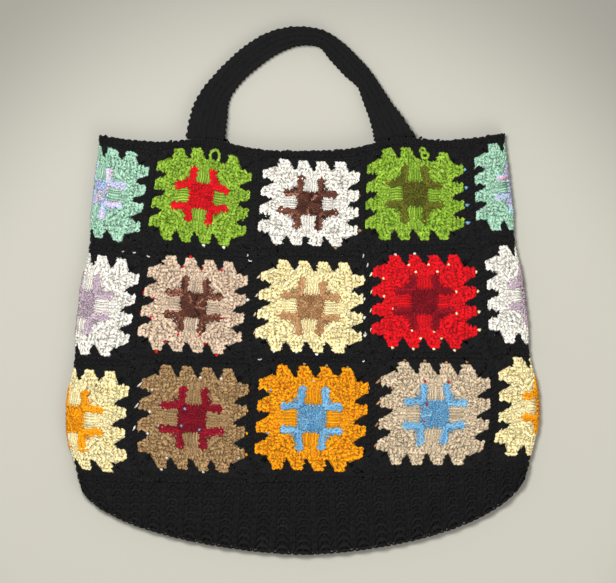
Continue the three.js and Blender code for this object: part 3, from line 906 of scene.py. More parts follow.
    def lay(
        self, fabric: Fabric, kinds: tuple[StitchMesh, ...], quarter: int, low: Shares, high: Shares, **how: float
    ) -> None:
        """Lays stitches on one side of the square.

        Args:
            fabric: The piece to add to.
            kinds: The stitch, in one or more kinds.
            quarter: Side number.
            low: Shares out and along where the stitches start.
            high: Shares out and along where they end.
            how: The length, inset, width and jitter that Fabric.lay takes.
        """
        fabric.lay(kinds, self.surface, self.side(quarter, *low), self.side(quarter, *high), **how)

    def field(self, fabric: Fabric, stitches: StitchSet) -> None:
        """Adds rounds three and four, in the field's colour.

        Args:
            fabric: The piece to add to.
            stitches: The stitches.
        """
        outline = self.spiky_outline(0.014)
        self.band(fabric, outline, outline * 0.26, 2.0, 4)
        for quarter in range(4):
            self._round_three(fabric, stitches, quarter)
            tip, valley = self.tip(quarter), self.valley(quarter)
            floor = self.spike_places()[:3] + self.VALLEY_PLACE * self.pitch
            for sway in (-0.018, 0.004, 0.026):
                low, high = (valley - 0.02, floor + sway), (valley - 0.004, floor + sway + 0.008)
                self.lay(fabric, stitches.knot, quarter, low, high, inset=1.5, width=1.2, jitter=0.4)
            for number, place in enumerate(self.spike_places()):
                if self.is_loose(quarter, number):
                    continue
                feet = np.maximum(place + self.pitch * self.SPIKE_FEET, -self.chain_reach)
                starts = self.side(quarter, self.round_three - 0.01, feet)
                ends = self.side(quarter, tip - self.SPIKE_SHORT, place + self.pitch * self.SPIKE_HEADS)
                self.knobs(fabric, stitches, starts, ends, 4)
                crest = place + self.pitch * self.SPIKE_CREST
                self.lay(
                    fabric, stitches.loop, quarter, (tip - 0.012, crest), (tip + 0.05, crest), inset=1.45, width=0.8
                )

    def _round_three(self, fabric: Fabric, stitches: StitchSet, quarter: int) -> None:
        """Adds one side of round three.

        Args:
            fabric: The piece to add to.
            stitches: The stitches.
            quarter: Side number.
        """
        window = np.linspace(-self.WINDOW, self.WINDOW, 5)
        self.lay(
            fabric, stitches.thread, quarter, (self.hub - 0.014, window * 0.9), (self.round_three - 0.09, window),
            length=POST_LENGTH, inset=1.6, width=1.35,
        )
        near, far = self.CLUSTERS
        tops = np.concatenate([np.linspace(-far, -near, 7), np.linspace(near, far, 7)])
        size = np.abs(tops)
        over_arm = size < self.ARM_COVER
        fan = np.clip((size - self.ARM_COVER) / self.ARM_FAN, 0, 1)
        bottom_out = np.where(over_arm, 0.24, 0.225 - 0.07 * fan)
        bottom_along = np.sign(tops) * np.where(over_arm, size, self.ARM_COVER + 0.035 * fan)
        starts = self.side(quarter, bottom_out, bottom_along)
        self.knobs(fabric, stitches, starts, self.side(quarter, self.round_three, tops), 4)
        across = np.linspace(-0.06, 0.06, 3)
        for out in self.ARM_KNOTS:
            low, high = (out, across), (out + 0.01, across + 0.02)
            self.lay(fabric, stitches.knot, quarter, low, high, inset=1.5, width=1.4, jitter=0.5)
        ridge = np.linspace(-0.3, 0.3, 15) + 0.008
        low, high = (self.round_three - 0.004, ridge), (self.round_three + 0.01, ridge + 0.02)
        self.lay(fabric, stitches.knot, quarter, low, high, inset=1.3, width=1.3, jitter=0.6)

    def centre(self, fabric: Fabric, stitches: StitchSet) -> None:
        """Adds rounds one and two: the hub and its eight arms, in the centre's colour.

        Args:
            fabric: The piece to add to.
            stitches: The stitches.
        """
        angles = np.linspace(0, math.tau, 32, endpoint=False)
        rim = np.stack([np.cos(angles), np.sin(angles)], -1)
        rim = rim / np.maximum(np.abs(rim).max(1, keepdims=True), 0.8) * self.hub * self.size
        self.band(fabric, rim, rim * 0.02, 1.85, 2)
        spokes = np.linspace(0, math.tau, 16, endpoint=False) + 0.2
        out = np.stack([np.cos(spokes), np.sin(spokes)], -1) * self.size
        fabric.lay(
            stitches.post, self.surface, out * 0.03, out * (self.hub - 0.018),
            length=POST_LENGTH, inset=1.45, width=0.9, jitter=0.5,
        )
        fabric.lay(stitches.knot, self.surface, out[::2] * 0.036, out[::2], inset=1.2, width=0.9)
        bumps = np.array([-0.055, -0.018, 0.018, 0.055])
        lean = np.array([-0.03, 0.0, 0.03])
        for quarter in range(4):
            self.lay(
                fabric, stitches.knot, quarter, (self.hub - 0.012, bumps), (self.hub, bumps + 0.03),
                inset=1.3, width=1.3, jitter=0.5,
            )
            for sign in (-1, 1):
                self._arm(fabric, stitches, quarter, sign)
            self.lay(
                fabric, stitches.post, quarter, (0.105 - 0.3 * lean, 0.105 + 0.3 * lean), (0.154 - lean, 0.154 + lean),
                length=POST_LENGTH, inset=1.5, width=1.1,
            )

    def _arm(self, fabric: Fabric, stitches: StitchSet, quarter: int, sign: int) -> None:
        """Adds one arm of round two.

        Args:
            fabric: The piece to add to.
            stitches: The stitches.
            quarter: Side number.
            sign: 1 for the arm on the anticlockwise half of the side, -1 for the other.
        """
        fan = np.array([-0.022, 0.0, 0.022])
        slack = fabric.chance.normal(0, (0.01, 0.006))
        feet = self.side(quarter, 0.1, sign * 0.098 + 0.5 * fan)
        heads = sign * self.arm_place + fan + slack[1]
        ends = self.arm_end + slack[0] - 0.01 * np.abs(fan) / 0.022
        fabric.lay(
            stitches.post, self.surface, feet, self.side(quarter, ends, heads), length=POST_LENGTH, inset=1.3
        )
        under = self.side(quarter, ends[1] - 0.01, heads[1] + fan[::2] / 2)
        fabric.lay(
            stitches.post, self.surface, (feet[:2] + feet[1:]) / 2, under, length=POST_LENGTH, inset=1.8, width=1.4
        )
        self.lay(fabric, stitches.loop, quarter, (ends - 0.012, heads), (ends + 0.05, heads), inset=1.25, width=0.8)

    def joining(self, fabric: Fabric, stitches: StitchSet) -> None:
        """Adds the black last round and its share of the joining.

        Args:
            fabric: The piece to add to.
            stitches: The stitches.
        """
        inner = self.spiky_outline(0.03)
        edge = np.abs(inner / self.size).max(1, keepdims=True)
        self.band(fabric, inner * (self.border / edge), inner, 2.2, 2)
        corner = np.full(3, self.valley_x + 0.02)
        lean = np.array([-0.05, 0.0, 0.05])
        seam = np.linspace(-self.SEAM, self.SEAM, 20)
        for quarter in range(4):
            for place in self.spike_places()[:3] + 0.4 * self.pitch:
                feet = place + self.pitch * np.array([-0.05, 0.0, 0.06])
                heads = place + self.pitch * np.array([-0.24, 0.08, 0.4])
                starts = self.side(quarter, self.valley(quarter) + 0.02, feet)
                self.knobs(fabric, stitches, starts, self.side(quarter, self.border - 0.035, heads), 3, 1.7)
            starts = self.side(quarter, corner, corner)
            self.knobs(fabric, stitches, starts, self.side(quarter, 0.465 - lean, 0.465 + lean), 3, 1.7)
            for out, inset in ((self.tip(quarter) + 0.024, 1.9), (self.border - 0.01, 1.4)):
                self.lay(
                    fabric, stitches.loop, quarter, (out, seam), (out + 0.05, seam), inset=inset, width=1.1, jitter=0.4
                )


class Gap(Enum):
    """Where a square lets the yarn behind it show."""

    TIPS = "at the tips of the spikes"
    VALLEYS = "between the spikes"
    ARMS = "at the ends of the arms"
    PITS = "between the hub and the arms"


@dataclass(frozen=True)
class Peep:
    """Bits of the far side's yarn that show through the gaps of a square on the front."""

    column: str
    row: int
    yarn: str
    gap: Gap
    quarters: tuple[int, ...] = (0, 1, 2, 3)
    share: float = 0.7

    def places(self, square: GrannySquare) -> tuple[np.ndarray, np.ndarray]:
        """Where the bits lie and which way they point.

        Args:
            square: The square on the front.

        Returns:
            Starts and ends in millimetres on the flat.
        """
        starts, ends = [], []
        for quarter in self.quarters:
            if self.gap is Gap.TIPS:
                along = square.spike_places() + 0.05 * square.pitch
                out = np.full(4, square.tip(quarter) + 0.012)
            elif self.gap is Gap.VALLEYS:
                along = square.spike_places()[:3] + square.VALLEY_PLACE * square.pitch
                out = np.full(3, square.valley(quarter) - 0.004)
            elif self.gap is Gap.ARMS:
                along = np.array([-1, 1]) * square.arm_place
                out = np.full(2, square.arm_end + 0.014)
            else:
                along = np.array([0.078])
                out = np.array([0.082])
            starts.append(square.side(quarter, out, along - 0.012))
            ends.append(square.side(quarter, out, along + 0.012))
        return np.concatenate(starts), np.concatenate(ends)


@dataclass(frozen=True)
class SquareYarns:
    """The yarns of the squares in one column, from the base up: field and centre of each."""

    name: str
    start: float
    fields: tuple[str, str, str]
    centres: tuple[str, str, str]
    slips: tuple[tuple[float, float], ...] = ((0.5, 3.0), (0.0, 1.5), (-0.5, 3.0))


@dataclass
class SquareBody:
    """The tube of granny squares with its black joining."""

    rows: tuple[str, ...] = ("bottom", "middle", "top")
    columns: tuple[SquareYarns, ...] = (
        SquareYarns("front_left", -1.415, ("camel", "beige", "lime"), ("burgundy", "brown", "scarlet"),
                    ((1.7, 4.3), (-2.4, 2.8), (-1.8, 3.4))),
        SquareYarns("front_middle", -0.44, ("orange", "cream", "white"), ("blue", "milk_brown", "brown"),
                    ((0.9, 2.6), (0.2, 1.2), (-0.3, 2.8))),
        SquareYarns("front_right", 0.557, ("taupe", "red", "lime"), ("blue", "maroon", "olive"),
                    ((2.2, 2.6), (-1.0, 2.2), (-2.6, 2.8))),
        SquareYarns("side_right", 1.56, ("cream", "white", "mint"), ("orange", "lavender", "pastel")),
        SquareYarns("back_right", 2.565, ("camel", "cream", "red"), ("burgundy", "milk_brown", "white")),
        SquareYarns("back_middle", 3.57, ("beige", "lime", "orange"), ("brown", "scarlet", "olive")),
        SquareYarns("back_left", 4.575, ("white", "red", "taupe"), ("blue", "maroon", "burgundy")),
        SquareYarns("side_left", 5.58, ("cream", "white", "mint"), ("orange", "lavender", "pastel")),
    )
    loose: tuple[tuple[str, str], ...] = (("top", "front_left"), ("top", "front_right"))
    peeps: tuple[Peep, ...] = (
        Peep("front_left", 1, "red", Gap.TIPS, (1, 2, 3), 0.5),
        Peep("front_left", 1, "red", Gap.VALLEYS, (1, 2, 3), 0.9),
        Peep("front_left", 1, "red", Gap.ARMS, (0, 3), 0.6),
        Peep("front_left", 1, "white", Gap.TIPS, (0,), 0.4),
        Peep("front_middle", 1, "white", Gap.TIPS, (0, 3), 0.8),
        Peep("front_middle", 1, "white", Gap.VALLEYS, (1,), 0.4),
        Peep("front_middle", 1, "taupe", Gap.TIPS, (2,), 0.4),
        Peep("front_right", 1, "cream", Gap.TIPS, (0, 2, 3), 0.9),
        Peep("front_right", 1, "cream", Gap.VALLEYS, (1, 2, 3), 0.8),
        Peep("front_right", 1, "cream", Gap.ARMS, (0, 1, 2, 3), 0.9),
        Peep("front_right", 1, "white", Gap.TIPS, (1,), 0.7),
        Peep("front_left", 0, "white", Gap.TIPS, (2, 3), 0.6),
        Peep("front_left", 0, "white", Gap.VALLEYS, (1, 2, 3), 0.6),
        Peep("front_left", 0, "orange", Gap.TIPS, (0,), 0.9),
        Peep("front_left", 0, "blue", Gap.PITS, (0, 1, 2, 3), 0.9),
        Peep("front_left", 0, "blue", Gap.ARMS, (2,), 0.8),
        Peep("front_middle", 0, "camel", Gap.TIPS, (0, 1), 0.6),
        Peep("front_middle", 0, "blue", Gap.VALLEYS, (2,), 0.4),
        Peep("front_right", 0, "milk_brown", Gap.TIPS, (1, 2), 0.7),
        Peep("front_right", 0, "milk_brown", Gap.VALLEYS, (2,), 0.7),
        Peep("front_right", 0, "scarlet", Gap.PITS, (1, 2), 0.9),
        Peep("front_right", 0, "scarlet", Gap.ARMS, (1,), 0.5),
        Peep("front_left", 2, "white", Gap.TIPS, (3,), 0.5),
        Peep("front_middle", 2, "camel", Gap.TIPS, (0, 3), 0.5),
        Peep("front_right", 2, "blue", Gap.TIPS, (0,), 0.8),
        Peep("front_right", 2, "red", Gap.ARMS, (2,), 0.6),
    )

    def squares(self) -> list[tuple[str, SquareYarns, GrannySquare]]:
        """Places every square.

        Returns:
            Each square with its row name and its column.
        """
        found = []
        for i, column in enumerate(self.columns):
            after = self.columns[(i + 1) % len(self.columns)].start
            turns = (after - column.start) % FORM.squares_round
            for row, name in enumerate(self.rows):
                loose = (name, column.name) in self.loose
                found.append((name, column, GrannySquare(row, column.start, turns, column.slips[row], loose=loose)))
        return found

    def build(self, materials: YarnMaterials, stitches: StitchSet) -> None:
        """Builds every square and the two nets.

        Args:
            materials: The yarn materials.
            stitches: The stitches.
        """
        nets = {face: Fabric(f"joining_{face.value}", "yarn_black", 900 + i) for i, face in enumerate(Face)}
        peeping: dict[str, Fabric] = {}
        for number, (row, column, square) in enumerate(self.squares()):
            place = f"{row}_{column.name}"
            field_piece = Fabric(f"rounds_{place}", f"yarn_{column.fields[square.row]}", 10 + number)
            square.field(field_piece, stitches)
            field_piece.make(materials, (f"field_{place}",))
            centre_piece = Fabric(f"hub_{place}", f"yarn_{column.centres[square.row]}", 100 + number)
            square.centre(centre_piece, stitches)
            centre_piece.make(materials, (f"centre_{place}",))
            face = Face.BACK if column.name.startswith("back") else Face.FRONT
            square.joining(nets[face], stitches)
            for peep in self.peeps:
                if (peep.column, peep.row) == (column.name, square.row):
                    slot = f"yarn_{peep.yarn}"
                    bits = peeping.setdefault(slot, Fabric(f"peeping_{peep.yarn}", slot, 800 + len(peeping)))
                    starts, ends = peep.places(square)
                    shown = bits.chance.random(len(starts)) < peep.share
                    bits.lay(
                        stitches.knot, square.surface, starts[shown], ends[shown], inset=1.25, width=1.35, jitter=0.4
                    )
        for face, net in nets.items():
            net.make(materials, (f"net_{face.value}",))
        for bits in peeping.values():
            bits.make(materials)


@dataclass(frozen=True)
class StrayStrand:
    """An off-white strand that shows on the black joining, in turns and rows."""

    turn: float
    row: float
    slant: float
    length: float


@dataclass
class StrayStrands:
    """The off-white strands on the joining and the loose loops of the two lime squares."""

    strands: tuple[StrayStrand, ...] = (
        StrayStrand(-1.63, 1.985, 0.3, 2.2), StrayStrand(-1.53, 1.985, 0.1, 3.0), StrayStrand(-1.4, 1.965, -0.3, 3.2),
        StrayStrand(-1.2, 1.96, 0.0, 2.4), StrayStrand(-0.49, 1.955, -0.3, 3.6), StrayStrand(-0.5, 1.99, 1.3, 2.4),
        StrayStrand(0.53, 1.96, 1.4, 3.6), StrayStrand(0.56, 1.87, 1.2, 4.0), StrayStrand(-0.38, 1.02, 0.1, 3.8),
        StrayStrand(0.49, 0.98, 0.4, 2.6), StrayStrand(0.52, 1.23, 1.4, 3.0), StrayStrand(0.07, 0.83, 0.2, 2.2),
        StrayStrand(1.42, 0.86, 0.7, 2.8), StrayStrand(-0.55, 0.2, 0.8, 2.6),
    )
    loops: dict[str, tuple[tuple[float, float], ...]] = field(
        default_factory=lambda: {"front_left": ((4.2, 5.2),), "front_right": ((3.2, 2.4), (2.6, 2.2))}
    )

    def build(
        self, materials: YarnMaterials, stitches: StitchSet, squares: list[tuple[str, SquareYarns, GrannySquare]]
    ) -> None:
        """Builds the strands and the loose loops.

        Args:
            materials: The yarn materials.
            stitches: The stitches.
            squares: Every square with its row name and its column.
        """
        fabric = Fabric("stray_strands", "yarn_white", 860)
        width, rise = FORM.squares[1], FORM.rises[1]

        def joined(x: np.ndarray, y: np.ndarray, inset: np.ndarray) -> np.ndarray:
            """Points of the joining, from millimetres round the bag and up it."""
            return FORM.place(x / width, y / rise, inset)

        starts = np.array([(s.turn * width, s.row * rise) for s in self.strands])
        ways = np.array([(math.cos(s.slant) * s.length, math.sin(s.slant) * s.length) for s in self.strands])
        fabric.lay(stitches.thread, joined, starts, starts + ways, length=POST_LENGTH, inset=0.35, jitter=0.05)
        fabric.make(materials)
        loose = Fabric("loose_loops", "yarn_lime", 861)
        turns = np.linspace(0.0, math.tau, 13)[:-1]
        for _, column, square in squares:
            if square.loose:
                quarter, number = square.LOOSE_SPIKE
                spike = square.spike_places()[number]
                for i, (across, up) in enumerate(self.loops[column.name]):
                    middle = square.side(quarter, square.valley(quarter) + 0.035 + 0.045 * i, spike + 0.02 * i)
                    ring = middle + np.stack([across * np.cos(turns), up * np.sin(turns)], -1)
                    ahead = np.roll(ring, -1, 0)
                    loose.lay(stitches.knot, square.surface, ring, ahead, length=1.5, width=1.5, inset=0.7, jitter=0.2)
        loose.make(materials)


@dataclass
class RibbedBase:
    """The black ribbed pocket at the bottom."""

    ribs: int = 25
    rib_pitch: float = 17.4
    course: float = 6.8
    top: float = 2.9
    rim_spread: float = 5.8

    PARTS = 100
    REACH = FORM.squares_round / 4 * PARTS

    def surface(self, face: Face, x: np.ndarray, y: np.ndarray, inset: np.ndarray) -> np.ndarray:
        """Points of one half of the base.

        Args:
            face: Which half.
            x: Turns across from the middle of that face, in hundredths.
            y: Share down from the seam, in hundredths.
            inset: How far in from the outer face.

        Returns:
            The points in space.
        """
        middle = 0.0 if face is Face.FRONT else FORM.squares_round / 2
        across = np.clip(x, -self.REACH, self.REACH) / self.PARTS
        return FORM.base_place(middle + across, np.clip(y / self.PARTS, 0, 1), inset)

    def build(self, materials: YarnMaterials, stitches: StitchSet) -> None:
        """Builds both halves of the base.

        Args:
            materials: The yarn materials.
            stitches: The stitches.
        """
        pitch = 2 * self.REACH / self.ribs
        for number, face in enumerate(Face):
            fabric = Fabric(f"ribbed_base_{face.value}", "yarn_black", 700 + number)
            self._shell(fabric, face)
            for rib in range(self.ribs):
                x = -self.REACH + pitch * (rib + 0.5)
                ends = FORM.base_place(np.full(2, x / self.PARTS), np.array([0.0, 1.0]), np.zeros(2))
                length = float(np.hypot(*(ends[1] - ends[0])[:2])) + 5
                self._rib(fabric, stitches, face, x, pitch, length)
            fabric.make(materials, (f"base_{face.value}",))

    def _shell(self, fabric: Fabric, face: Face) -> None:
        """Adds the cloth behind the ribs of one half.

        Args:
            fabric: The piece to add to.
            face: Which half.
        """
        across = np.linspace(-self.REACH, self.REACH, 101)
        down = np.linspace(0, self.PARTS, 9)
        section = [(y, self.top) for y in down] + [(y, FORM.wall) for y in down[::-1]]
        rings = [self.surface(face, across, np.full_like(across, y), np.full_like(across, i)) for y, i in section]
        fabric.shell(np.stack(rings, 1), closed=False)

    def _rib(self, fabric: Fabric, stitches: StitchSet, face: Face, x: float, pitch: float, length: float) -> None:
        """Lays one rib's arches and the strands beside it.

        Args:
            fabric: The piece to add to.
            stitches: The stitches.
            face: Which half.
            x: Place of the rib across the base.
            pitch: From rib to rib.
            length: Length of the rib in millimetres.
        """
        count = max(int(round(length / self.course)), 1)
        step = length / count
        wide = pitch / self.rib_pitch

        def on_rib(along: np.ndarray, across: np.ndarray, inset: np.ndarray) -> np.ndarray:
            """Points beside this rib, from millimetres down it and across it."""
            return self.surface(face, x + across * wide, along * self.PARTS / length, inset)

        downs = (np.arange(count) + 0.42) * step
        starts = np.stack([downs, np.zeros(count)], 1)
        fabric.lay(stitches.arch, on_rib, starts, starts + np.array([1.0, 0.0]), inset=1.1, jitter=0.12)
        for across in (-1.0, 1.0):
            beside = np.stack([downs - step / 2, np.full(count, self.rib_pitch / 2 + across * 1.3)], 1)
            ahead = beside + np.array([step, 0.0])
            fabric.lay(stitches.thread, on_rib, beside, ahead, length=POST_LENGTH, inset=2.5, width=2.0)
        rim = np.stack([np.full(3, length - 1.5), np.array([-self.rim_spread, 0.0, self.rim_spread])], 1)
        fabric.lay(stitches.loop, on_rib, rim, rim + np.array([1.0, 0.0]), inset=0.9, width=1.2, jitter=0.1)


@dataclass
class MouthEdging:
    """The low black edging round the mouth."""

    height: float = 6.0
    stitch: float = 5.4
    low: float = 0.2
    high: float = 1.2
    top: float = 2.0
    feet: tuple[float, float] = (-93.0, 87.0)
    foot_reach: float = 16.0

    def build(self, materials: YarnMaterials, stitches: StitchSet) -> None:
        """Builds both halves of the edging.

        Args:
            materials: The yarn materials.
            stitches: The stitches.
        """
        half = FORM.squares_round / 4
        per_turn = float(FORM.square_at(np.array([FORM.mouth]))[0])
        for number, face in enumerate(Face):
            middle = 0.0 if face is Face.FRONT else 2 * half

            def surface(x: np.ndarray, y: np.ndarray, inset: np.ndarray) -> np.ndarray:
                """Points of the edging.

                Args:
                    x: Millimetres round the mouth from the middle of that face.
                    y: Millimetres up from the mouth's line.
                    inset: How far in from the outer face.

                Returns:
                    The points in space.
                """
                turn = middle + np.clip(x / per_turn, -half, half)
                points = FORM.place(turn, np.full_like(turn, float(FORM.mouth)), inset)
                return points + np.stack([np.zeros_like(y), y, np.zeros_like(y)], -1)

            fabric = Fabric(f"mouth_edging_{face.value}", "yarn_black", 720 + number)
            count = int(2 * half * per_turn / self.stitch)
            across = (np.arange(count) + 0.5) * (2 * half * per_turn / count) - half * per_turn
            rounds = np.linspace(-half * per_turn, half * per_turn, 97)
            last = self.height - self.high
            section = ((self.low, self.top), (last, self.top), (last, FORM.wall), (self.low, FORM.wall))
            rings = [surface(rounds, np.full_like(rounds, y), np.full_like(rounds, inset)) for y, inset in section]
            fabric.shell(np.stack(rings, 1), closed=False)
            low = np.stack([across, np.full(count, 2.2)], 1)
            fabric.lay(stitches.vee, surface, low, low + np.array([0.0, 1.0]), inset=1.3, width=1.05)
            high = np.stack([across, np.full(count, last)], 1)
            fabric.lay(stitches.loop, surface, high, high + np.array([0.0, 1.0]), inset=1.3, width=1.25)
            fabric.lay(stitches.loop, surface, high, high + np.array([0.0, 1.0]), inset=2.8, width=1.25)
            under = across[np.min([np.abs(across - foot) for foot in self.feet], axis=0) < self.foot_reach]
            foot = np.stack([under, np.full(len(under), self.height + self.high)], 1)
            fabric.lay(stitches.vee, surface, foot, foot + np.array([0.0, 1.0]), inset=1.7, width=0.9)
            fabric.make(materials, (f"edging_{face.value}",))


@dataclass(frozen=True)
class StrapStation:
    """A place on a handle's route: across and up as shares, its width and how far it has sunk."""

    across: float
    up: float
    width: float
    sunk: float


@dataclass
class StrapHandle:
    """One of the two crocheted handles."""

    face: Face
    strap_width: float = 38.0
    strap_wall: float = 3.6
    half_spread: float = 90.0
    rise: float = 110.0
    edging: float = 5.5
    foot: float = 2.1
    clearance: float = 0.3
    columns: int = 7
    column_pitch: float = 5.2
    row_pitch: float = 5.3
    stations: int = 27
    core_width: float = 0.93
    core_depth: float = 0.14
    edge: float = 1.2
    edge_gap: float = 3.0
    route: tuple[StrapStation, ...] = (
        StrapStation(-1.037, 0.1, 1.0, 0), StrapStation(-0.995, 0.322, 0.95, 0.4),
        StrapStation(-0.942, 0.465, 0.8, 0.75), StrapStation(-0.853, 0.581, 0.675, 1),
        StrapStation(-0.689, 0.728, 0.65, 1), StrapStation(-0.516, 0.845, 0.65, 1),
        StrapStation(-0.332, 0.94, 0.625, 1), StrapStation(-0.095, 1, 0.52, 1),
        StrapStation(0.1, 0.996, 0.463, 1), StrapStation(0.226, 0.965, 0.45, 1),
        StrapStation(0.374, 0.853, 0.58, 1), StrapStation(0.532, 0.719, 0.59, 1),
        StrapStation(0.653, 0.62, 0.52, 1), StrapStation(0.75, 0.465, 0.63, 0.75),
        StrapStation(0.822, 0.348, 0.71, 0.4), StrapStation(0.968, 0.119, 1.05, 0),
    )

    def _curve(self, values: np.ndarray, t: np.ndarray) -> np.ndarray:
        """Reads a centripetal curve through the route's points.

        Args:
            values: Points of the curve, shaped (points, numbers).
            t: Places from 0 to 1.

        Returns:
            The curve at each place.
        """
        last = len(values) - 1
        padded = np.concatenate([2 * values[:1] - values[1:2], values, 2 * values[-1:] - values[-2:-1]])
        place = np.clip(t, 0, 1) * last
        index = np.minimum(place.astype(int), last - 1)
        w = (place - index)[:, None]
        p0, p1, p2, p3 = (padded[index + k] for k in range(4))
        d0, d1, d2 = (np.sqrt(np.linalg.norm(b - a, axis=1, keepdims=True)) for a, b in ((p0, p1), (p1, p2), (p2, p3)))
        d1 = np.where(d1 < 1e-4, 1.0, d1)
        d0, d2 = np.where(d0 < 1e-4, d1, d0), np.where(d2 < 1e-4, d1, d2)
        t1 = ((p1 - p0) / d0 - (p2 - p0) / (d0 + d1) + (p2 - p1) / d1) * d1
        t2 = ((p2 - p1) / d1 - (p3 - p1) / (d1 + d2) + (p3 - p2) / d2) * d1
        return p1 + t1 * w + (3 * (p2 - p1) - 2 * t1 - t2) * w**2 + (2 * (p1 - p2) + t1 + t2) * w**3

    def _sections(self) -> dict[str, np.ndarray]:
        """Measures the strap at its stations.

        Returns:
            The place along it, middle, sideways direction, half width, thickness and level.
        """
        t = np.linspace(0, 1, self.stations)
        line = np.array([(s.across * self.half_spread, s.up * self.rise) for s in self.route])
        sizes = self._curve(np.array([(s.width, s.sunk) for s in self.route]), t)
        middle = self._curve(line, t)
        ahead = self._curve(line, t + 1e-3) - self._curve(line, t - 1e-3)
        ahead /= np.linalg.norm(ahead, axis=1, keepdims=True)
        side = np.stack([ahead[:, 1], -ahead[:, 0]], 1)
        side[0], side[-1] = (np.sign(ahead[0, 1]), 0), (np.sign(ahead[-1, 1]), 0)
        thick = self.strap_wall / np.minimum(sizes[:, 0], 1)
        sunk = np.clip(sizes[:, 1], 0, 1)
        mouth = np.full(self.stations, float(FORM.mouth))
        wall = FORM.place(middle[:, 0] / FORM.square_at(mouth), mouth, np.zeros(self.stations))[:, 2] - self.strap_wall
        level = wall + (thick + self.clearance - wall) * sunk if self.face is Face.FRONT else np.zeros(self.stations)
        half = self.strap_width * sizes[:, 0] / 2
        return {"t": t, "middle": middle, "side": side, "half": half, "thick": thick, "level": level}

    def point(self, t: np.ndarray, across: np.ndarray, over: np.ndarray) -> np.ndarray:
        """Points of the strap.

        Args:
            t: Place along the strap from 0 to 1.
            across: Place across it from -1 to 1.
            over: Height over the underside, as a share of the thickness.

        Returns:
            The points in space.
        """
        t, across, over = np.broadcast_arrays(t, across, over)
        s = self._sections()
        mouth_half = float(FORM.half_width(np.array([FORM.mouth]))[0])
        foot_base = float(FORM.line_height(FORM.mouth, np.zeros(1))[0]) + self.edging
        station = t * (self.stations - 1)
        below = np.minimum(station.astype(int), self.stations - 2)
        stations = []
        for index in (below, below + 1):
            middle, side = s["middle"][index], s["side"][index]
            x = middle[..., 0] + side[..., 0] * s["half"][index] * across
            y = foot_base + middle[..., 1] + side[..., 1] * s["half"][index] * across
            on_edging = FORM.line_height(FORM.mouth, x / mouth_half) + self.edging + self.foot
            y = np.where((index == 0) | (index == self.stations - 1), on_edging, y)
            z = s["level"][index] + s["thick"][index] * over
            stations.append(np.stack([x, y, z], -1))
        return stations[0] + (stations[1] - stations[0]) * (station - below)[..., None]

    def build(self, materials: YarnMaterials, stitches: StitchSet) -> None:
        """Builds the handle.

        Args:
            materials: The yarn materials.
            stitches: The stitches.
        """
        fabric = Fabric(f"strap_{self.face.value}", "yarn_black", 740 + list(Face).index(self.face))
        t = np.linspace(0, 1, 79)
        angles = np.linspace(0, math.tau, 16, endpoint=False)
        section = [(self.core_width * math.cos(a), 0.5 + self.core_depth * math.sin(a)) for a in angles]
        rings = [self.point(t, np.full_like(t, across), np.full_like(t, over)) for across, over in section]
        fabric.shell(np.stack(rings, 1), closed=False)
        fine = np.linspace(0, 1, 400)
        line = self.point(fine, np.zeros(400), np.full(400, 0.5))
        run = np.concatenate([[0], np.cumsum(np.linalg.norm(np.diff(line, axis=0), axis=1))])
        rows = int(run[-1] / self.row_pitch)
        downs = (np.arange(rows) + 0.5) * run[-1] / rows
        sections = self._sections()
        half = np.interp(downs, run, np.interp(fine, sections["t"], sections["half"]))

        for top in (True, False):

            def surface(along: np.ndarray, across: np.ndarray, inset: np.ndarray) -> np.ndarray:
                """Points on one side of the strap.

                Args:
                    along: Millimetres along the strap.
                    across: Millimetres across it from its middle.
                    inset: How far in from that side's face.

                Returns:
                    The points in space.
                """
                share = np.interp(along, run, fine)
                wide = np.interp(share, sections["t"], sections["half"])
                place = across / wide * (-1 if top else 1)
                bow = np.sqrt(np.clip(1 - place**2, 0, 1))
                over = 0.5 + np.maximum(0.5 * bow - inset / self.strap_wall, -0.1)
                return self.point(share, place, over if top else 1 - over)

            for column in range(-(self.columns // 2), self.columns // 2 + 1):
                place = column * self.column_pitch
                kept = downs[np.abs(place) < half - self.edge_gap]
                starts = np.stack([kept, np.full(len(kept), place)], 1)
                ahead = starts + np.array([1.0, 0.0])
                fabric.lay(stitches.vee, surface, starts, ahead, inset=1.4, width=0.6, jitter=0.12)
            for side in (-1, 1):
                starts = np.stack([downs, side * (half - self.edge)], 1)
                ahead = starts + np.stack([np.ones(rows), side * np.gradient(half, downs)], 1)
                fabric.lay(stitches.knot, surface, starts, ahead, inset=1.4, jitter=0.1)
        fabric.make(materials, (f"handle_{self.face.value}",))


@dataclass(frozen=True)
class Lamp:
    """A soft lamp that points at the middle of the bag."""

    name: str
    place: tuple[float, float, float]
    size: float
    power: float


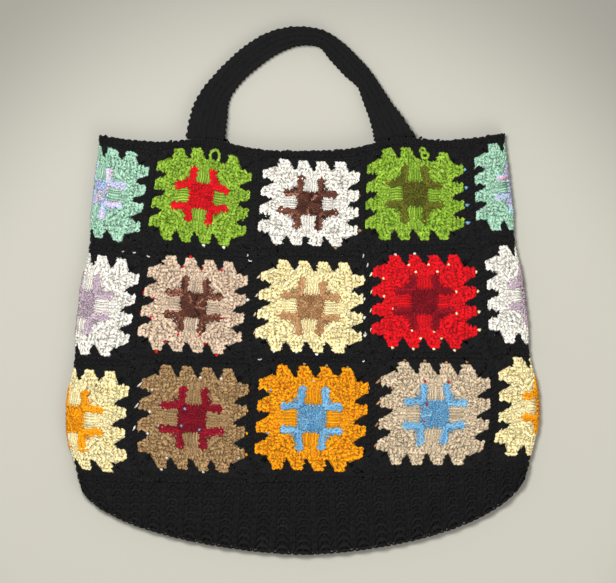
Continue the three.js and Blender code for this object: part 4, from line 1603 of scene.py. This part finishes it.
@dataclass(frozen=True)
class Studio:
    """The floor, the light and the camera."""

    distance: float = 3.5
    level: float = 0.012
    pixel: float = 0.00095
    image: tuple[int, int] = (616, 583)
    look_at: tuple[float, float] = (0.0043, -0.0011)
    sensor: float = 36.0
    sheet: tuple[float, float, float] = (0.42, 0.41, 0.36)
    sheet_size: float = 8.0
    sheet_level: float = -0.0002
    # Painted pool of light on the floor: its middle, the reach over which it fades, and how dark the painted shade
    # gets beyond it.
    painted_pool_middle: tuple[float, float, float] = (0.0, -0.12, 0.0)
    painted_pool_reach: tuple[float, float] = (0.3, 0.5)
    painted_pool_depth: float = 0.58
    room: tuple[float, float, float] = (1.0, 0.97, 0.93)
    room_light: float = 0.4
    lamps: tuple[Lamp, ...] = (
        Lamp("soft main light", (-0.25, 0.35, 1.7), 0.4, 33.0),
        Lamp("soft fill light", (0.7, -0.8, 1.4), 1.2, 9.0),
    )

    def build(self) -> None:
        """Builds the floor, the light and the camera."""
        bpy.ops.object.select_all(action="DESELECT")
        bpy.ops.mesh.primitive_plane_add(size=self.sheet_size, location=(0, 0, self.sheet_level))
        floor = bpy.context.object
        floor.name = "floor"
        floor.data.materials.append(self._floor_material())
        bpy.ops.object.camera_add(location=(*self.look_at, self.distance))
        camera = bpy.context.object
        camera.data.sensor_width = self.sensor
        camera.data.lens = self.sensor * (self.distance - self.level) / (self.image[0] * self.pixel)
        bpy.context.scene.camera = camera
        for lamp in self.lamps:
            bpy.ops.object.light_add(type="AREA", location=lamp.place)
            light = bpy.context.object
            light.name = lamp.name
            light.data.size = lamp.size
            light.data.energy = lamp.power
            light.rotation_euler = (-Vector(lamp.place)).to_track_quat("-Z", "Y").to_euler()
        world = bpy.data.worlds.new("pale room")
        bpy.context.scene.world = world
        world.use_nodes = True
        background = world.node_tree.nodes["Background"]
        background.inputs["Color"].default_value = (*self.room, 1)
        background.inputs["Strength"].default_value = self.room_light
        bpy.context.scene.view_settings.view_transform = "Standard"

    def _floor_material(self) -> bpy.types.Material:
        """Makes the pale cloth that the bag lies on, with painted shade that darkens it further out from a painted
        pool of light.

        Returns:
            The material.
        """
        material = bpy.data.materials.new("pale cloth")
        material.use_nodes = True
        shader = material.node_tree.nodes["Principled BSDF"]
        nodes, links = material.node_tree.nodes, material.node_tree.links
        # Painted light falloff: the cloth's colour is darkened away from the middle of the painted pool of light, as a
        # lamp's falloff would do.
        place = nodes.new("ShaderNodeTexCoord")
        offset = nodes.new("ShaderNodeVectorMath")
        offset.operation = "SUBTRACT"
        offset.inputs[1].default_value = self.painted_pool_middle
        links.new(place.outputs["Object"], offset.inputs[0])
        away = nodes.new("ShaderNodeVectorMath")
        away.operation = "LENGTH"
        links.new(offset.outputs["Vector"], away.inputs[0])
        shade = nodes.new("ShaderNodeMapRange")
        shade.interpolation_type = "SMOOTHSTEP"
        shade.inputs["From Min"].default_value = self.painted_pool_reach[0]
        shade.inputs["From Max"].default_value = self.painted_pool_reach[1]
        links.new(away.outputs["Value"], shade.inputs["Value"])
        mix = nodes.new("ShaderNodeMix")
        mix.data_type = "RGBA"
        mix.inputs[6].default_value = (*self.sheet, 1)
        mix.inputs[7].default_value = (*(c * self.painted_pool_depth for c in self.sheet), 1)
        links.new(shade.outputs["Result"], mix.inputs[0])
        links.new(mix.outputs[2], shader.inputs["Base Color"])
        shader.inputs["Roughness"].default_value = 0.9
        shader.inputs["Specular IOR Level"].default_value = 0.1
        return material


def main() -> None:
    """Builds the bag's looks and the studio."""
    logging.basicConfig(level=logging.INFO, format="%(message)s")
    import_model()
    stitches = StitchSet.modelled()
    materials = YarnMaterials()
    body = SquareBody()
    body.build(materials, stitches)
    StrayStrands().build(materials, stitches, body.squares())
    RibbedBase().build(materials, stitches)
    MouthEdging().build(materials, stitches)
    for face in Face:
        StrapHandle(face).build(materials, stitches)
    Studio().build()


if __name__ == "__main__":
    main()
